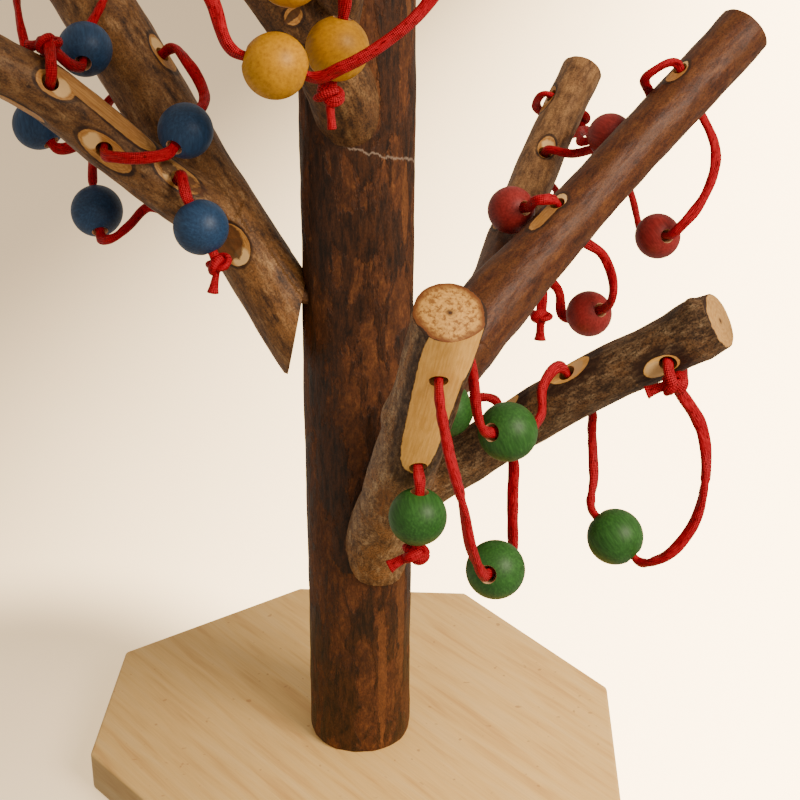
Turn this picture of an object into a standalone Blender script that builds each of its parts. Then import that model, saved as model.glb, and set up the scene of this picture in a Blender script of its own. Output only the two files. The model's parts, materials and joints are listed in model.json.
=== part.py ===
"""Threading tree: four forked branches on a trunk, with cords and wooden beads to thread.

Metres, +Z up, +Y away from the viewer. The origin is at the underside of the board, under
the trunk's axis. Run inside Blender.
"""

import math

import bmesh
import bpy
from mathutils import Matrix, Vector

# Overall sizes
TREE_HEIGHT = 0.400
BOARD_SPAN = 0.220
BOARD_THICKNESS = 0.018
BOARD_EDGE = 0.0015
BOARD_TURN = -2.34

# The trunk, the forks' stems and the beads grow with the tree
TRUNK_RADIUS = TREE_HEIGHT * 0.0525
TRUNK_TOP = TREE_HEIGHT * 0.93
STEM_GREEN = TREE_HEIGHT * 0.0315
STEM_RED = TREE_HEIGHT * 0.0375
STEM_BLUE = TREE_HEIGHT * 0.033
STEM_YELLOW = TREE_HEIGHT * 0.03
BEAD_RADIUS = TREE_HEIGHT * 0.025

# Hole, cord and knot sizes
TIP_CHAMFER = 0.0008
HOLE_RADIUS = 0.0031
BORE_RADIUS = 0.0028
MOUTH_RADIUS = 0.0037
MOUTH_DEPTH = 0.0011
CORD_RADIUS = 0.0019
KNOT_RADIUS = 0.0040
TAIL_LENGTH = 0.011
HITCH_SLACK = 0.0040
FLAT_DEPTH = 0.0021
FLAT_SLOPE = 0.036

# Joinery sizes
DOWEL_RADIUS = 0.003
DOWEL_LENGTH = 0.026
DOWEL_LOW = 0.005
DOWEL_HIGH = 0.014
DOWEL_ASIDE = 0.0065
DOWEL_LIFT = 0.0060
SCREW_SHANK = 0.00225
SCREW_HEAD = 0.00425
SCREW_HEAD_DEPTH = 0.0026
SCREW_LENGTH = 0.050
SCREW_PLACE = 0.0095
SCREW_SINK = 0.0008
SEAT_WIDTH = 0.036
SEAT_HEIGHT = 0.050

# Clearances and cuts
GAP = 0.0003
OVERRUN = 0.004
BEAD_LEAD = 0.0005
WELD = 0.00005

# Facets
TRUNK_SIDES = 28
ARM_SIDES = 16
HOLE_SIDES = 12
BEAD_STEPS = 12
KNOT_SIDES = 10
CORD_STEP = 0.0110
CORD_TURN = 0.65

# The board's outline, in shares of its span
BOARD_OUTLINE_SHARES = [
    (-0.168, 0.488), (0.200, 0.488), (0.490, 0.145), (0.490, -0.264),
    (0.273, -0.490), (-0.140, -0.490), (-0.506, -0.121), (-0.506, 0.220),
]

# The trunk's swelling: height and girth shares
TRUNK_SHARES = [
    (0.000, 0.975), (0.006, 1.000), (0.300, 1.005), (0.650, 0.995),
    (0.994, 0.990), (1.000, 0.965),
]

# Branch routes: x, y, z in shares of the tree's height, then girth in shares of the stem
ARM_SHARES = {
    "green_front": (STEM_GREEN, [
        (0.019, -0.030, 0.268, 1.000), (0.020, -0.050, 0.298, 1.008),
        (0.034, -0.110, 0.380, 0.970), (0.049, -0.175, 0.465, 0.920),
        (0.064, -0.238, 0.553, 0.873), (0.077, -0.294, 0.638, 0.897),
    ]),
    "green_side": (STEM_GREEN, [
        (0.030, -0.100, 0.368, 0.794), (0.063, -0.101, 0.391, 0.778),
        (0.096, -0.104, 0.416, 0.762), (0.142, -0.114, 0.455, 0.754),
        (0.200, -0.130, 0.503, 0.778), (0.275, -0.155, 0.558, 0.786),
        (0.291, -0.160, 0.571, 0.845), (0.306, -0.166, 0.581, 0.778),
    ]),
    "red_long": (STEM_RED, [
        (0.015, 0.008, 0.375, 1.000), (0.055, 0.030, 0.415, 0.987),
        (0.095, 0.063, 0.452, 0.973), (0.139, 0.108, 0.491, 0.947),
        (0.190, 0.153, 0.533, 0.813), (0.249, 0.207, 0.581, 0.773),
        (0.328, 0.270, 0.646, 0.767), (0.412, 0.343, 0.713, 0.793),
    ]),
    "red_short": (STEM_RED, [
        (0.116, 0.094, 0.463, 0.800), (0.139, 0.160, 0.481, 0.747),
        (0.154, 0.222, 0.500, 0.693), (0.181, 0.307, 0.540, 0.660),
        (0.215, 0.390, 0.588, 0.633), (0.252, 0.466, 0.638, 0.640),
    ]),
    "blue_rear": (STEM_BLUE, [
        (-0.040, -0.035, 0.490, 0.985), (-0.054, -0.024, 0.509, 1.000),
        (-0.083, 0.000, 0.551, 1.000), (-0.136, 0.041, 0.619, 1.008),
        (-0.207, 0.100, 0.717, 1.045), (-0.267, 0.150, 0.800, 1.106),
        (-0.320, 0.195, 0.875, 1.045),
    ]),
    "blue_side": (STEM_BLUE, [
        (-0.100, 0.010, 0.580, 0.795), (-0.126, 0.020, 0.603, 0.818),
        (-0.165, 0.011, 0.632, 0.811), (-0.199, 0.003, 0.663, 0.780),
        (-0.221, -0.004, 0.685, 0.780), (-0.274, -0.021, 0.736, 0.773),
        (-0.307, -0.033, 0.760, 0.742), (-0.350, -0.048, 0.793, 0.727),
    ]),
    "yellow_left": (STEM_YELLOW, [
        (-0.003, -0.015, 0.700, 1.000), (-0.008, -0.043, 0.731, 1.017),
        (-0.016, -0.065, 0.760, 1.000), (-0.035, -0.090, 0.795, 0.800),
        (-0.065, -0.118, 0.843, 0.717), (-0.095, -0.150, 0.898, 0.683),
        (-0.140, -0.200, 0.986, 0.658),
    ]),
    "yellow_right": (STEM_YELLOW, [
        (-0.020, -0.063, 0.768, 0.875), (-0.019, -0.083, 0.800, 0.767),
        (-0.011, -0.113, 0.840, 0.708), (0.000, -0.150, 0.895, 0.700),
        (0.021, -0.204, 0.980, 0.683),
    ]),
}

# Each fork: its two arms, its seat on the trunk in height shares, and the seat's outward way
FORKS = {
    "fork_green": ("green_front", "green_side", (0.019, -0.049, 0.296), (0.0, -1.0, 0.0)),
    "fork_red": ("red_long", "red_short", (0.045, 0.022, 0.405), (0.81, 0.59, 0.0)),
    "fork_blue": ("blue_rear", "blue_side", (-0.057, -0.021, 0.513), (-0.98, 0.0, 0.196)),
    "fork_yellow": ("yellow_left", "yellow_right", (-0.010, -0.049, 0.739), (0.0, -1.0, 0.0)),
}

# Cord holes: arm, place in height shares, way from the front mouth to the rear one
HOLE_SHARES = {
    "green_front_low": ("green_front", (0.053, -0.190, 0.486), (-0.10, 0.62, 0.78)),
    "green_front_high": ("green_front", (0.070, -0.263, 0.592), (0.00, 0.83, 0.55)),
    "green_side_low": ("green_side", (0.136, -0.113, 0.451), (0.25, 0.12, -0.96)),
    "green_side_mid": ("green_side", (0.197, -0.129, 0.500), (0.50, 0.25, -0.82)),
    "green_side_high": ("green_side", (0.268, -0.153, 0.552), (0.10, 0.95, 0.25)),
    "red_long_low": ("red_long", (0.215, 0.175, 0.553), (0.50, 0.40, -0.77)),
    "red_long_high": ("red_long", (0.349, 0.289, 0.663), (0.47, 0.23, -0.85)),
    "red_short_low": ("red_short", (0.158, 0.242, 0.507), (0.46, 0.00, -0.89)),
    "red_short_mid": ("red_short", (0.199, 0.349, 0.566), (-0.10, 0.75, -0.60)),
    "red_short_high": ("red_short", (0.232, 0.426, 0.610), (-0.80, -0.35, 0.50)),
    "blue_side_low": ("blue_side", (-0.171, 0.009, 0.635), (-0.35, 0.62, -0.70)),
    "blue_side_mid": ("blue_side", (-0.226, -0.006, 0.690), (-0.10, 0.95, 0.20)),
    "blue_side_high": ("blue_side", (-0.271, -0.020, 0.734), (-0.30, 0.75, -0.60)),
    "blue_rear_low": ("blue_rear", (-0.210, 0.103, 0.721), (-0.75, 0.18, -0.64)),
    "blue_rear_high": ("blue_rear", (-0.278, 0.160, 0.816), (-0.80, 0.55, 0.10)),
    "yellow_right_low": ("yellow_right", (-0.004, -0.136, 0.875), (0.00, 0.85, 0.50)),
    "yellow_right_mid": ("yellow_right", (0.005, -0.164, 0.918), (0.00, 0.85, 0.50)),
    "yellow_right_high": ("yellow_right", (0.012, -0.183, 0.947), (-0.50, 0.75, 0.30)),
    "yellow_left_low": ("yellow_left", (-0.086, -0.140, 0.880), (0.20, 0.80, 0.50)),
    "yellow_left_high": ("yellow_left", (-0.114, -0.170, 0.934), (0.20, 0.80, 0.50)),
}

# Forks whose seat meets the trunk only high up, so their low dowel moves there
LEANING_SEATS = ("fork_blue",)

# Whittled flats: arm, middle in height shares, the way it faces, half length as a share
FLAT_SHARES = {
    "fork_green": ("green_front", (0.0635, -0.2355, 0.5525), (-0.10, -0.82, -0.56), 0.098),
}

# Beads: place in height shares, way of the bore
BEAD_SHARES = {
    "bead_green_1": ((0.056, -0.217, 0.421), (0.06, 0.02, 1.00)),
    "bead_green_2": ((0.081, -0.119, 0.475), (0.90, 0.10, 0.35)),
    "bead_green_3": ((0.121, -0.255, 0.392), (-0.33, -0.88, 0.33)),
    "bead_green_4": ((0.130, -0.215, 0.501), (0.62, 0.71, -0.32)),
    "bead_green_5": ((0.232, -0.173, 0.377), (0.67, -0.45, -0.59)),
    "bead_blue_1": ((-0.139, -0.044, 0.619), (-0.42, 0.25, 0.87)),
    "bead_blue_2": ((-0.253, 0.066, 0.597), (-0.21, 0.75, 0.62)),
    "bead_blue_3": ((-0.153, -0.010, 0.698), (0.35, 0.85, 0.40)),
    "bead_blue_4": ((-0.313, 0.114, 0.669), (-0.58, 0.50, 0.64)),
    "bead_blue_5": ((-0.249, 0.049, 0.757), (0.07, -0.95, -0.32)),
    "bead_red_1": ((0.156, 0.199, 0.556), (0.55, -0.76, 0.35)),
    "bead_red_2": ((0.246, 0.214, 0.433), (-0.42, 0.76, -0.50)),
    "bead_red_3": ((0.198, 0.284, 0.482), (-0.10, 0.65, 0.75)),
    "bead_red_4": ((0.323, 0.265, 0.505), (0.29, -0.90, 0.32)),
    "bead_red_5": ((0.268, 0.295, 0.609), (-0.90, 0.30, -0.30)),
    "bead_yellow_1": ((-0.010, -0.167, 0.808), (0.19, 0.07, 0.98)),
    "bead_yellow_2": ((-0.046, -0.093, 0.890), (-1.00, -0.10, 0.05)),
    "bead_yellow_3": ((-0.043, -0.208, 0.873), (1.00, 0.00, -0.05)),
    "bead_yellow_4": ((-0.050, -0.125, 0.933), (-1.00, 0.00, 0.05)),
    "bead_yellow_5": ((-0.054, -0.224, 0.808), (0.95, 0.00, -0.30)),
}

# Cord routes in metres, from the stop knot: pieces passed through, and free points between.
# A hole with a minus sign is entered at its rear mouth.
CORD_ROUTES = {
    "cord_green": [
        "bead_green_1", "green_front_low", (0.0185, -0.0540, 0.2030), (0.0145, -0.0500, 0.1940),
        "bead_green_2", "green_side_low", (0.0570, -0.0550, 0.1590), (0.0565, -0.0660, 0.1530),
        (0.0560, -0.0770, 0.1500), "bead_green_3", (0.0400, -0.1180, 0.1720),
        (0.0360, -0.1200, 0.1920), (0.0310, -0.1200, 0.2120), "green_front_high",
        (0.0330, -0.0860, 0.2435), (0.0385, -0.0890, 0.2280), "bead_green_4",
        (0.0640, -0.0720, 0.1995), (0.0650, -0.0650, 0.2075), "green_side_mid",
        (0.0848, -0.0496, 0.1830), (0.0855, -0.0573, 0.1690), "bead_green_5",
        (0.1070, -0.0800, 0.1480), (0.1170, -0.0790, 0.1590), (0.1215, -0.0750, 0.1750),
        (0.1200, -0.0715, 0.1930),
    ],
    "cord_blue": [
        "bead_blue_1", "blue_side_low", (-0.0815, 0.0195, 0.2420), (-0.0875, 0.0150, 0.2365),
        (-0.0940, 0.0120, 0.2325),
        "bead_blue_2", (-0.1030, 0.0360, 0.2580), (-0.0980, 0.0240, 0.2720), "-blue_side_mid",
        (-0.0824, -0.0202, 0.2740), (-0.0736, -0.0202, 0.2740), "bead_blue_3",
        (-0.0586, 0.0228, 0.2900), (-0.0627, 0.0257, 0.2960), "blue_rear_low",
        (-0.1080, 0.0380, 0.2620), "bead_blue_4", (-0.1305, 0.0590, 0.2920),
        (-0.1335, 0.0655, 0.3050), (-0.1350, 0.0740, 0.3160), "-blue_rear_high",
        (-0.0905, 0.0450, 0.3280), (-0.0950, 0.0370, 0.3165), "bead_blue_5",
        (-0.1010, 0.0020, 0.3010),
    ],
    "cord_red": [
        (0.0780, 0.0950, 0.1820), "-red_short_low", "bead_red_1", (0.0730, 0.0610, 0.2330),
        "red_long_low", (0.1035, 0.0820, 0.2000), (0.1060, 0.0705, 0.1870), "bead_red_2",
        (0.0890, 0.1000, 0.1660), (0.0868, 0.1050, 0.1760), "bead_red_3",
        (0.0845, 0.1370, 0.2045), (0.0875, 0.1540, 0.2085), (0.0805, 0.1590, 0.2120),
        "-red_short_mid", (0.0915, 0.1270, 0.2330), (0.1050, 0.1330, 0.2330),
        (0.1170, 0.1375, 0.2190), "bead_red_4",
        (0.1370, 0.0920, 0.2120), (0.1470, 0.0980, 0.2240), (0.1520, 0.1100, 0.2400),
        "-red_long_high", (0.1210, 0.1100, 0.2730), (0.1240, 0.1215, 0.2570), "bead_red_5",
        (0.0960, 0.1370, 0.2395), (0.1015, 0.1520, 0.2365), (0.1065, 0.1660, 0.2280),
    ],
    "cord_yellow": [
        "bead_yellow_1", "yellow_right_low", "bead_yellow_2", "-yellow_left_low",
        "bead_yellow_3", "yellow_right_mid", "bead_yellow_4", "-yellow_left_high",
        (-0.0470, -0.0805, 0.3590), (-0.0404, -0.0825, 0.3410), "bead_yellow_5",
        (-0.0010, -0.0935, 0.3240), (0.0110, -0.0930, 0.3310), (0.0236, -0.0900, 0.3420),
        (0.0300, -0.0890, 0.3540), (0.0270, -0.0880, 0.3660),
    ],
}

# Where the red cord's stop knot hangs, in metres
RED_STOP = (0.0776, 0.0875, 0.1710)

# The way each stop knot's tail points
TAIL_WAYS = {
    "cord_green": (-1.0, -0.2, -0.35),
    "cord_blue": (-0.25, -0.2, -1.0),
    "cord_red": (0.0, -0.1, -1.0),
    "cord_yellow": (0.1, -0.2, -1.0),
}

# Ties at the cords' other ends: hole, the knot's place in metres, the tail's way
HITCHES = {
    "cord_green": ("green_side_high", (0.1085, -0.0730, 0.2125), (-1.0, 0.1, -0.3)),
    "cord_blue": ("blue_side_high", (-0.1070, -0.0065, 0.3105), (-0.85, 0.5, -0.1)),
    "cord_red": ("red_short_high", (0.0990, 0.1793, 0.2335), (-0.21, 0.61, -0.76)),
    "cord_yellow": ("yellow_right_high", (0.0130, -0.0850, 0.3740), (-0.7, -0.6, -0.4)),
}

# Finishes: colour, roughness, metallic
FINISHES = {
    "board_pine": ((0.60, 0.42, 0.22), 0.55, 0.0),
    "trunk_bark": ((0.07, 0.03, 0.02), 0.65, 0.0),
    "branch_green": ((0.15, 0.09, 0.05), 0.75, 0.0),
    "branch_red": ((0.19, 0.08, 0.04), 0.60, 0.0),
    "branch_blue": ((0.16, 0.09, 0.05), 0.70, 0.0),
    "branch_yellow": ((0.14, 0.07, 0.04), 0.70, 0.0),
    "bead_green": ((0.03, 0.14, 0.04), 0.45, 0.0),
    "bead_blue": ((0.03, 0.07, 0.16), 0.45, 0.0),
    "bead_red": ((0.27, 0.03, 0.03), 0.45, 0.0),
    "bead_yellow": ((0.69, 0.40, 0.04), 0.45, 0.0),
    "cord_satin": ((0.55, 0.01, 0.01), 0.40, 0.0),
    "dowel_beech": ((0.55, 0.36, 0.20), 0.60, 0.0),
    "screw_steel": ((0.55, 0.55, 0.56), 0.35, 1.0),
}


def clear_scene():
    """Remove every object, and the collections and meshes left over."""
    for item in list(bpy.data.objects):
        bpy.data.objects.remove(item, do_unlink=True)
    for group in list(bpy.data.collections):
        bpy.data.collections.remove(group)


def make_groups():
    """Return the part's collection and the one for its cutters."""
    part = bpy.data.collections.new("threading_tree")
    cutters = bpy.data.collections.new("cutters")
    for group in (part, cutters):
        bpy.context.scene.collection.children.link(group)
    cutters.hide_render = True
    return part, cutters


def make_finish(name, place):
    """Return a new Principled material for one sub-part."""
    colour, roughness, metallic = FINISHES[name]
    finish = bpy.data.materials.new(place + "_" + name)
    finish.use_nodes = True
    shader = finish.node_tree.nodes["Principled BSDF"]
    shader.inputs["Base Color"].default_value = (*colour, 1.0)
    shader.inputs["Roughness"].default_value = roughness
    shader.inputs["Metallic"].default_value = metallic
    finish.diffuse_color = (*colour, 1.0)
    return finish


def place(shares):
    """Return a place given in shares of the tree's height."""
    return Vector(shares) * TREE_HEIGHT


def add(name, data, group, finish=None):
    """Link an object for mesh or curve data, with its own finish."""
    item = bpy.data.objects.new(name, data)
    group.objects.link(item)
    if finish:
        data.materials.append(make_finish(finish, name))
    return item


def add_cutter(name, mesh, group):
    """Link a cutter that never renders."""
    item = add(name, mesh, group)
    item.hide_render = True
    item.display_type = "WIRE"
    return item


def boolean(item, cutter, operation):
    """Add one exact Boolean to an object."""
    step = item.modifiers.new(operation.lower() + "_" + cutter.name, "BOOLEAN")
    step.operation = operation
    step.solver = "EXACT"
    step.object = cutter


def to_mesh(form, name, smooth=True):
    """Turn a bmesh into mesh data, with round faces shaded smooth."""
    bmesh.ops.recalc_face_normals(form, faces=form.faces)
    mesh = bpy.data.meshes.new(name)
    form.to_mesh(mesh)
    form.free()
    if smooth:
        mesh.shade_smooth()
        mesh.set_sharp_from_angle(angle=math.radians(40.0))
    return mesh


def frames_along(points):
    """Return a tangent and two normals at each point, carried along without twist."""
    count = len(points)
    tangents = []
    for i in range(count):
        before = points[max(i - 1, 0)]
        after = points[min(i + 1, count - 1)]
        tangents.append((after - before).normalized())
    side = tangents[0].orthogonal().normalized()
    frames = []
    for tangent in tangents:
        side = (side - tangent * side.dot(tangent)).normalized()
        frames.append((tangent, side, tangent.cross(side)))
    return frames


def loft(form, points, radii, sides, closed=False):
    """Add a round tube through points to a bmesh; a loop if closed."""
    rings = []
    for point, radius, frame in zip(points, radii, frames_along(points)):
        ring = []
        for k in range(sides):
            turn = math.tau * k / sides
            way = frame[1] * math.cos(turn) + frame[2] * math.sin(turn)
            ring.append(form.verts.new(point + way * radius))
        rings.append(ring)
    for low, high in zip(rings, rings[1:]):
        for k in range(sides):
            j = (k + 1) % sides
            form.faces.new((low[k], low[j], high[j], high[k]))
    if not closed:
        form.faces.new(rings[0])
        form.faces.new(rings[-1])
    return rings


def add_cylinder(form, centre, way, radius, low, high, sides):
    """Add a capped cylinder along a way, from low to high past its centre."""
    way = way.normalized()
    points = [centre + way * low, centre + way * high]
    loft(form, points, [radius, radius], sides)


def arm_stations(arm):
    """Return an arm's points and radii, with a small chamfer at the sawn tip."""
    stem, shares = ARM_SHARES[arm]
    points = [place(row[:3]) for row in shares]
    radii = [stem * row[3] for row in shares]
    way = (points[-1] - points[-2]).normalized()
    points.append(points[-1] + way * TIP_CHAMFER)
    radii.append(radii[-1] - TIP_CHAMFER)
    return points, radii


def arm_at(arm, centre):
    """Return an arm's axis and radius at the station span nearest to a place."""
    points, radii = arm_stations(arm)
    best = None
    for i in range(len(points) - 2):
        run = points[i + 1] - points[i]
        share = min(max((centre - points[i]).dot(run) / run.length_squared, 0.0), 1.0)
        off = (points[i] + run * share - centre).length
        if best is None or off < best[0]:
            best = (off, run.normalized(), radii[i] + (radii[i + 1] - radii[i]) * share)
    return best[1], best[2]


def hole_run(hole):
    """Return a hole's centre, way and half length inside its arm."""
    arm, shares, way = HOLE_SHARES[hole]
    centre = place(shares)
    way = Vector(way).normalized()
    axis, radius = arm_at(arm, centre)
    slant = math.sqrt(1.0 - axis.dot(way) ** 2)
    return centre, way, radius / slant


def seat_frame(fork):
    """Return a seat's centre, outward way and uphill way along the seat."""
    arm, _, shares, way = FORKS[fork]
    out = Vector(way).normalized()
    axis = arm_at(arm, place(shares))[0]
    up = (axis - out * axis.dot(out)).normalized()
    return place(shares), out, up


def add_block(form, centre, out, up, width, height, depth):
    """Add a box from a place outwards, square to an outward way and an upward one."""
    across = up.cross(out)
    turn = Matrix((across, up, out)).transposed().to_4x4()
    size = Matrix.Diagonal((width, height, abs(depth), 1.0))
    middle = Matrix.Translation(centre + out * depth / 2)
    bmesh.ops.create_cube(form, size=1.0, matrix=middle @ turn @ size)


def mitre_reach(fork):
    """Return how far behind its seat's centre a fork's stem still has wood to cut."""
    points, radii = arm_stations(FORKS[fork][0])
    return (place(FORKS[fork][2]) - points[0]).length + 2 * max(radii)


def flat_frame(fork):
    """Return a whittled flat's middle, outward way, way along it and length."""
    arm, shares, way, reach = FLAT_SHARES[fork]
    middle = place(shares)
    along, radius = arm_at(arm, middle)
    out = Vector(way)
    out = (out - along * out.dot(along)).normalized()
    middle += out * (radius - FLAT_DEPTH)
    along = (along - out * FLAT_SLOPE).normalized()
    out = (out + along * FLAT_SLOPE).normalized()
    return middle, out, along, 2 * reach * TREE_HEIGHT


def dowel_places(fork):
    """Return the two places of a fork's dowels on its seat."""
    centre, out, up = seat_frame(fork)
    low = centre + up * DOWEL_LOW
    if fork in LEANING_SEATS:
        low += up.cross(out) * DOWEL_ASIDE + up * DOWEL_LIFT
    return [low, centre + up * DOWEL_HIGH], out


def build_board(part, cutters):
    """The cut octagon board, with two countersunk screw holes from below."""
    form = bmesh.new()
    turn = Matrix.Rotation(math.radians(BOARD_TURN), 4, "Z")
    low = []
    for x, y in BOARD_OUTLINE_SHARES:
        low.append(form.verts.new(turn @ Vector((x * BOARD_SPAN, y * BOARD_SPAN, 0.0))))
    face = form.faces.new(low)
    lifted = bmesh.ops.extrude_face_region(form, geom=[face])
    top = [v for v in lifted["geom"] if isinstance(v, bmesh.types.BMVert)]
    bmesh.ops.translate(form, vec=(0.0, 0.0, BOARD_THICKNESS), verts=top)
    board = add("base_board", to_mesh(form, "base_board", False), part, "board_pine")
    edge = board.modifiers.new("eased_edges", "BEVEL")
    edge.width = BOARD_EDGE
    edge.segments = 1
    edge.limit_method = "ANGLE"
    edge.angle_limit = math.radians(30.0)
    form = bmesh.new()
    for side in (-1.0, 1.0):
        foot = Vector((side * SCREW_PLACE, 0.0, 0.0))
        deep = SCREW_SINK + SCREW_HEAD_DEPTH
        wide = SCREW_HEAD + GAP
        slim = SCREW_SHANK + GAP
        points = [foot + Vector((0.0, 0.0, z)) for z in
                  (-OVERRUN, SCREW_SINK + GAP, deep + GAP, BOARD_THICKNESS + OVERRUN)]
        loft(form, points, [wide, wide, slim, slim], HOLE_SIDES)
    boolean(board, add_cutter("board_holes", to_mesh(form, "board_holes"), cutters), "DIFFERENCE")


def build_trunk(part, cutters):
    """The barked trunk with its four seats, dowel holes and screw pilots."""
    form = bmesh.new()
    foot = BOARD_THICKNESS + GAP
    tall = TRUNK_TOP - foot
    points = [Vector((0.0, 0.0, foot + tall * row[0])) for row in TRUNK_SHARES]
    loft(form, points, [TRUNK_RADIUS * row[1] for row in TRUNK_SHARES], TRUNK_SIDES)
    trunk = add("trunk", to_mesh(form, "trunk"), part, "trunk_bark")
    form = bmesh.new()
    for fork in FORKS:
        centre, out, up = seat_frame(fork)
        add_block(form, centre - out * GAP, out, up, SEAT_WIDTH, SEAT_HEIGHT, SEAT_WIDTH)
    boolean(trunk, add_cutter("seats", to_mesh(form, "seats", False), cutters), "DIFFERENCE")
    form = bmesh.new()
    deep = DOWEL_LENGTH / 2 + GAP
    for fork in FORKS:
        spots, out = dowel_places(fork)
        for spot in spots:
            add_cylinder(form, spot, out, DOWEL_RADIUS + GAP, -deep, OVERRUN, HOLE_SIDES)
    for side in (-1.0, 1.0):
        spot = Vector((side * SCREW_PLACE, 0.0, foot))
        reach = SCREW_SINK + SCREW_LENGTH - foot + GAP
        up = Vector((0.0, 0.0, 1.0))
        add_cylinder(form, spot, up, SCREW_SHANK + GAP, -OVERRUN, reach, HOLE_SIDES)
    boolean(trunk, add_cutter("trunk_holes", to_mesh(form, "trunk_holes"), cutters), "DIFFERENCE")


def build_fork(fork, part, cutters):
    """One natural fork: two arms grown together, mitred to its seat and drilled."""
    first, second = FORKS[fork][:2]
    form = bmesh.new()
    loft(form, *arm_stations(first), ARM_SIDES)
    body = add(fork, to_mesh(form, fork), part, "branch_" + fork.split("_")[1])
    form = bmesh.new()
    loft(form, *arm_stations(second), ARM_SIDES)
    other = add_cutter(fork + "_second_arm", to_mesh(form, fork + "_second_arm"), cutters)
    boolean(body, other, "UNION")
    form = bmesh.new()
    centre, out, up = seat_frame(fork)
    reach = mitre_reach(fork)
    add_block(form, centre, out, up, 2 * reach, 2 * reach, -reach)
    mitre = add_cutter(fork + "_mitre", to_mesh(form, fork + "_mitre", False), cutters)
    boolean(body, mitre, "DIFFERENCE")
    if fork in FLAT_SHARES:
        form = bmesh.new()
        middle, face, along, length = flat_frame(fork)
        add_block(form, middle, face, along, length, length, length / 2)
        flat = add_cutter(fork + "_flat", to_mesh(form, fork + "_flat", False), cutters)
        boolean(body, flat, "DIFFERENCE")
    form = bmesh.new()
    deep = DOWEL_LENGTH / 2 + GAP
    spots, out = dowel_places(fork)
    for spot in spots:
        add_cylinder(form, spot, out, DOWEL_RADIUS + GAP, -OVERRUN, deep, HOLE_SIDES)
    for hole, row in HOLE_SHARES.items():
        if row[0] in (first, second):
            centre, way, half = hole_run(hole)
            reach = half + OVERRUN
            add_cylinder(form, centre, way, HOLE_RADIUS, -reach, reach, HOLE_SIDES)
    holes = add_cutter(fork + "_holes", to_mesh(form, fork + "_holes"), cutters)
    boolean(body, holes, "DIFFERENCE")
    return body


def turned(name, profile, steps, part, finish, spot, way):
    """Add a turned piece: a closed profile swept round Z by a Screw, then set on its axis."""
    form = bmesh.new()
    corners = [form.verts.new((x, 0.0, z)) for x, z in profile]
    for i, corner in enumerate(corners):
        if i or profile[0][0] > WELD or profile[-1][0] > WELD:
            form.edges.new((corners[i - 1], corner))
    mesh = bpy.data.meshes.new(name)
    form.to_mesh(mesh)
    form.free()
    item = add(name, mesh, part, finish)
    sweep = item.modifiers.new("turning", "SCREW")
    sweep.axis = "Z"
    sweep.angle = math.tau
    sweep.screw_offset = 0.0
    sweep.steps = steps
    sweep.render_steps = steps
    sweep.use_merge_vertices = True
    sweep.merge_threshold = WELD
    sweep.use_smooth_shade = True
    turn = Vector((0.0, 0.0, 1.0)).rotation_difference(way.normalized())
    item.matrix_world = Matrix.Translation(spot) @ turn.to_matrix().to_4x4()
    return item


def bead_profile():
    """Return a bead's profile from the top mouth down the outside to the bottom mouth."""
    rim = math.sqrt(BEAD_RADIUS ** 2 - MOUTH_RADIUS ** 2)
    profile = [(BORE_RADIUS, rim - MOUTH_DEPTH), (MOUTH_RADIUS, rim)]
    for degrees in (45.0, 75.0, 105.0, 135.0):
        turn = math.radians(degrees)
        profile.append((BEAD_RADIUS * math.sin(turn), BEAD_RADIUS * math.cos(turn)))
    profile.append((MOUTH_RADIUS, -rim))
    profile.append((BORE_RADIUS, MOUTH_DEPTH - rim))
    return profile


def build_beads(part):
    """All the beads, each turned about its own bore."""
    for name, (shares, way) in BEAD_SHARES.items():
        colour = name.rsplit("_", 1)[0]
        turned(name, bead_profile(), BEAD_STEPS, part, colour, place(shares), Vector(way))


def build_fixings(part):
    """Two glued dowels behind each fork, and two screws up through the board."""
    for fork in FORKS:
        spots, out = dowel_places(fork)
        for number, spot in enumerate(spots, 1):
            form = bmesh.new()
            half = DOWEL_LENGTH / 2
            up = Vector((0.0, 0.0, 1.0))
            add_cylinder(form, Vector(), up, DOWEL_RADIUS, -half, half, HOLE_SIDES)
            name = "dowel_" + fork.split("_")[1] + "_" + str(number)
            item = add(name, to_mesh(form, name), part, "dowel_beech")
            turn = up.rotation_difference(out)
            item.matrix_world = Matrix.Translation(spot) @ turn.to_matrix().to_4x4()
    for number, side in enumerate((-1.0, 1.0), 1):
        profile = [
            (0.0, SCREW_LENGTH), (SCREW_SHANK / 2, SCREW_LENGTH - SCREW_SHANK),
            (SCREW_SHANK, SCREW_LENGTH - SCREW_HEAD), (SCREW_SHANK, SCREW_HEAD_DEPTH),
            (SCREW_HEAD, 0.0), (0.0, 0.0),
        ]
        spot = Vector((side * SCREW_PLACE, 0.0, SCREW_SINK))
        up = Vector((0.0, 0.0, 1.0))
        turned("trunk_screw_" + str(number), profile, HOLE_SIDES, part, "screw_steel", spot, up)


def through_run(step):
    """Return the two ends of a straight run through a bead or a hole, and its way."""
    name = step.lstrip("-")
    if name in BEAD_SHARES:
        shares, way = BEAD_SHARES[name]
        centre = place(shares)
        way = Vector(way).normalized()
        half = BEAD_RADIUS
    else:
        centre, way, half = hole_run(name)
    if step.startswith("-"):
        way = -way
    half += BEAD_LEAD
    return centre - way * half, centre + way * half, way


def stop_place(cord):
    """Return the centre of a cord's stop knot and the way the cord leaves it."""
    first = CORD_ROUTES[cord][0]
    if isinstance(first, str):
        low, _, way = through_run(first)
        return low - way * KNOT_RADIUS, way
    spot = Vector(RED_STOP)
    return spot, (Vector(first) - spot).normalized()


def tie_place(cord):
    """Return the centre of the knot at a cord's far end."""
    return Vector(HITCHES[cord][1])


def hitch_side(cord):
    """Return the way from a hitch's hole to its knot, square to the hole."""
    centre, way, _ = hole_run(HITCHES[cord][0])
    lean = tie_place(cord) - centre
    return (lean - way * lean.dot(way)).normalized()


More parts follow.
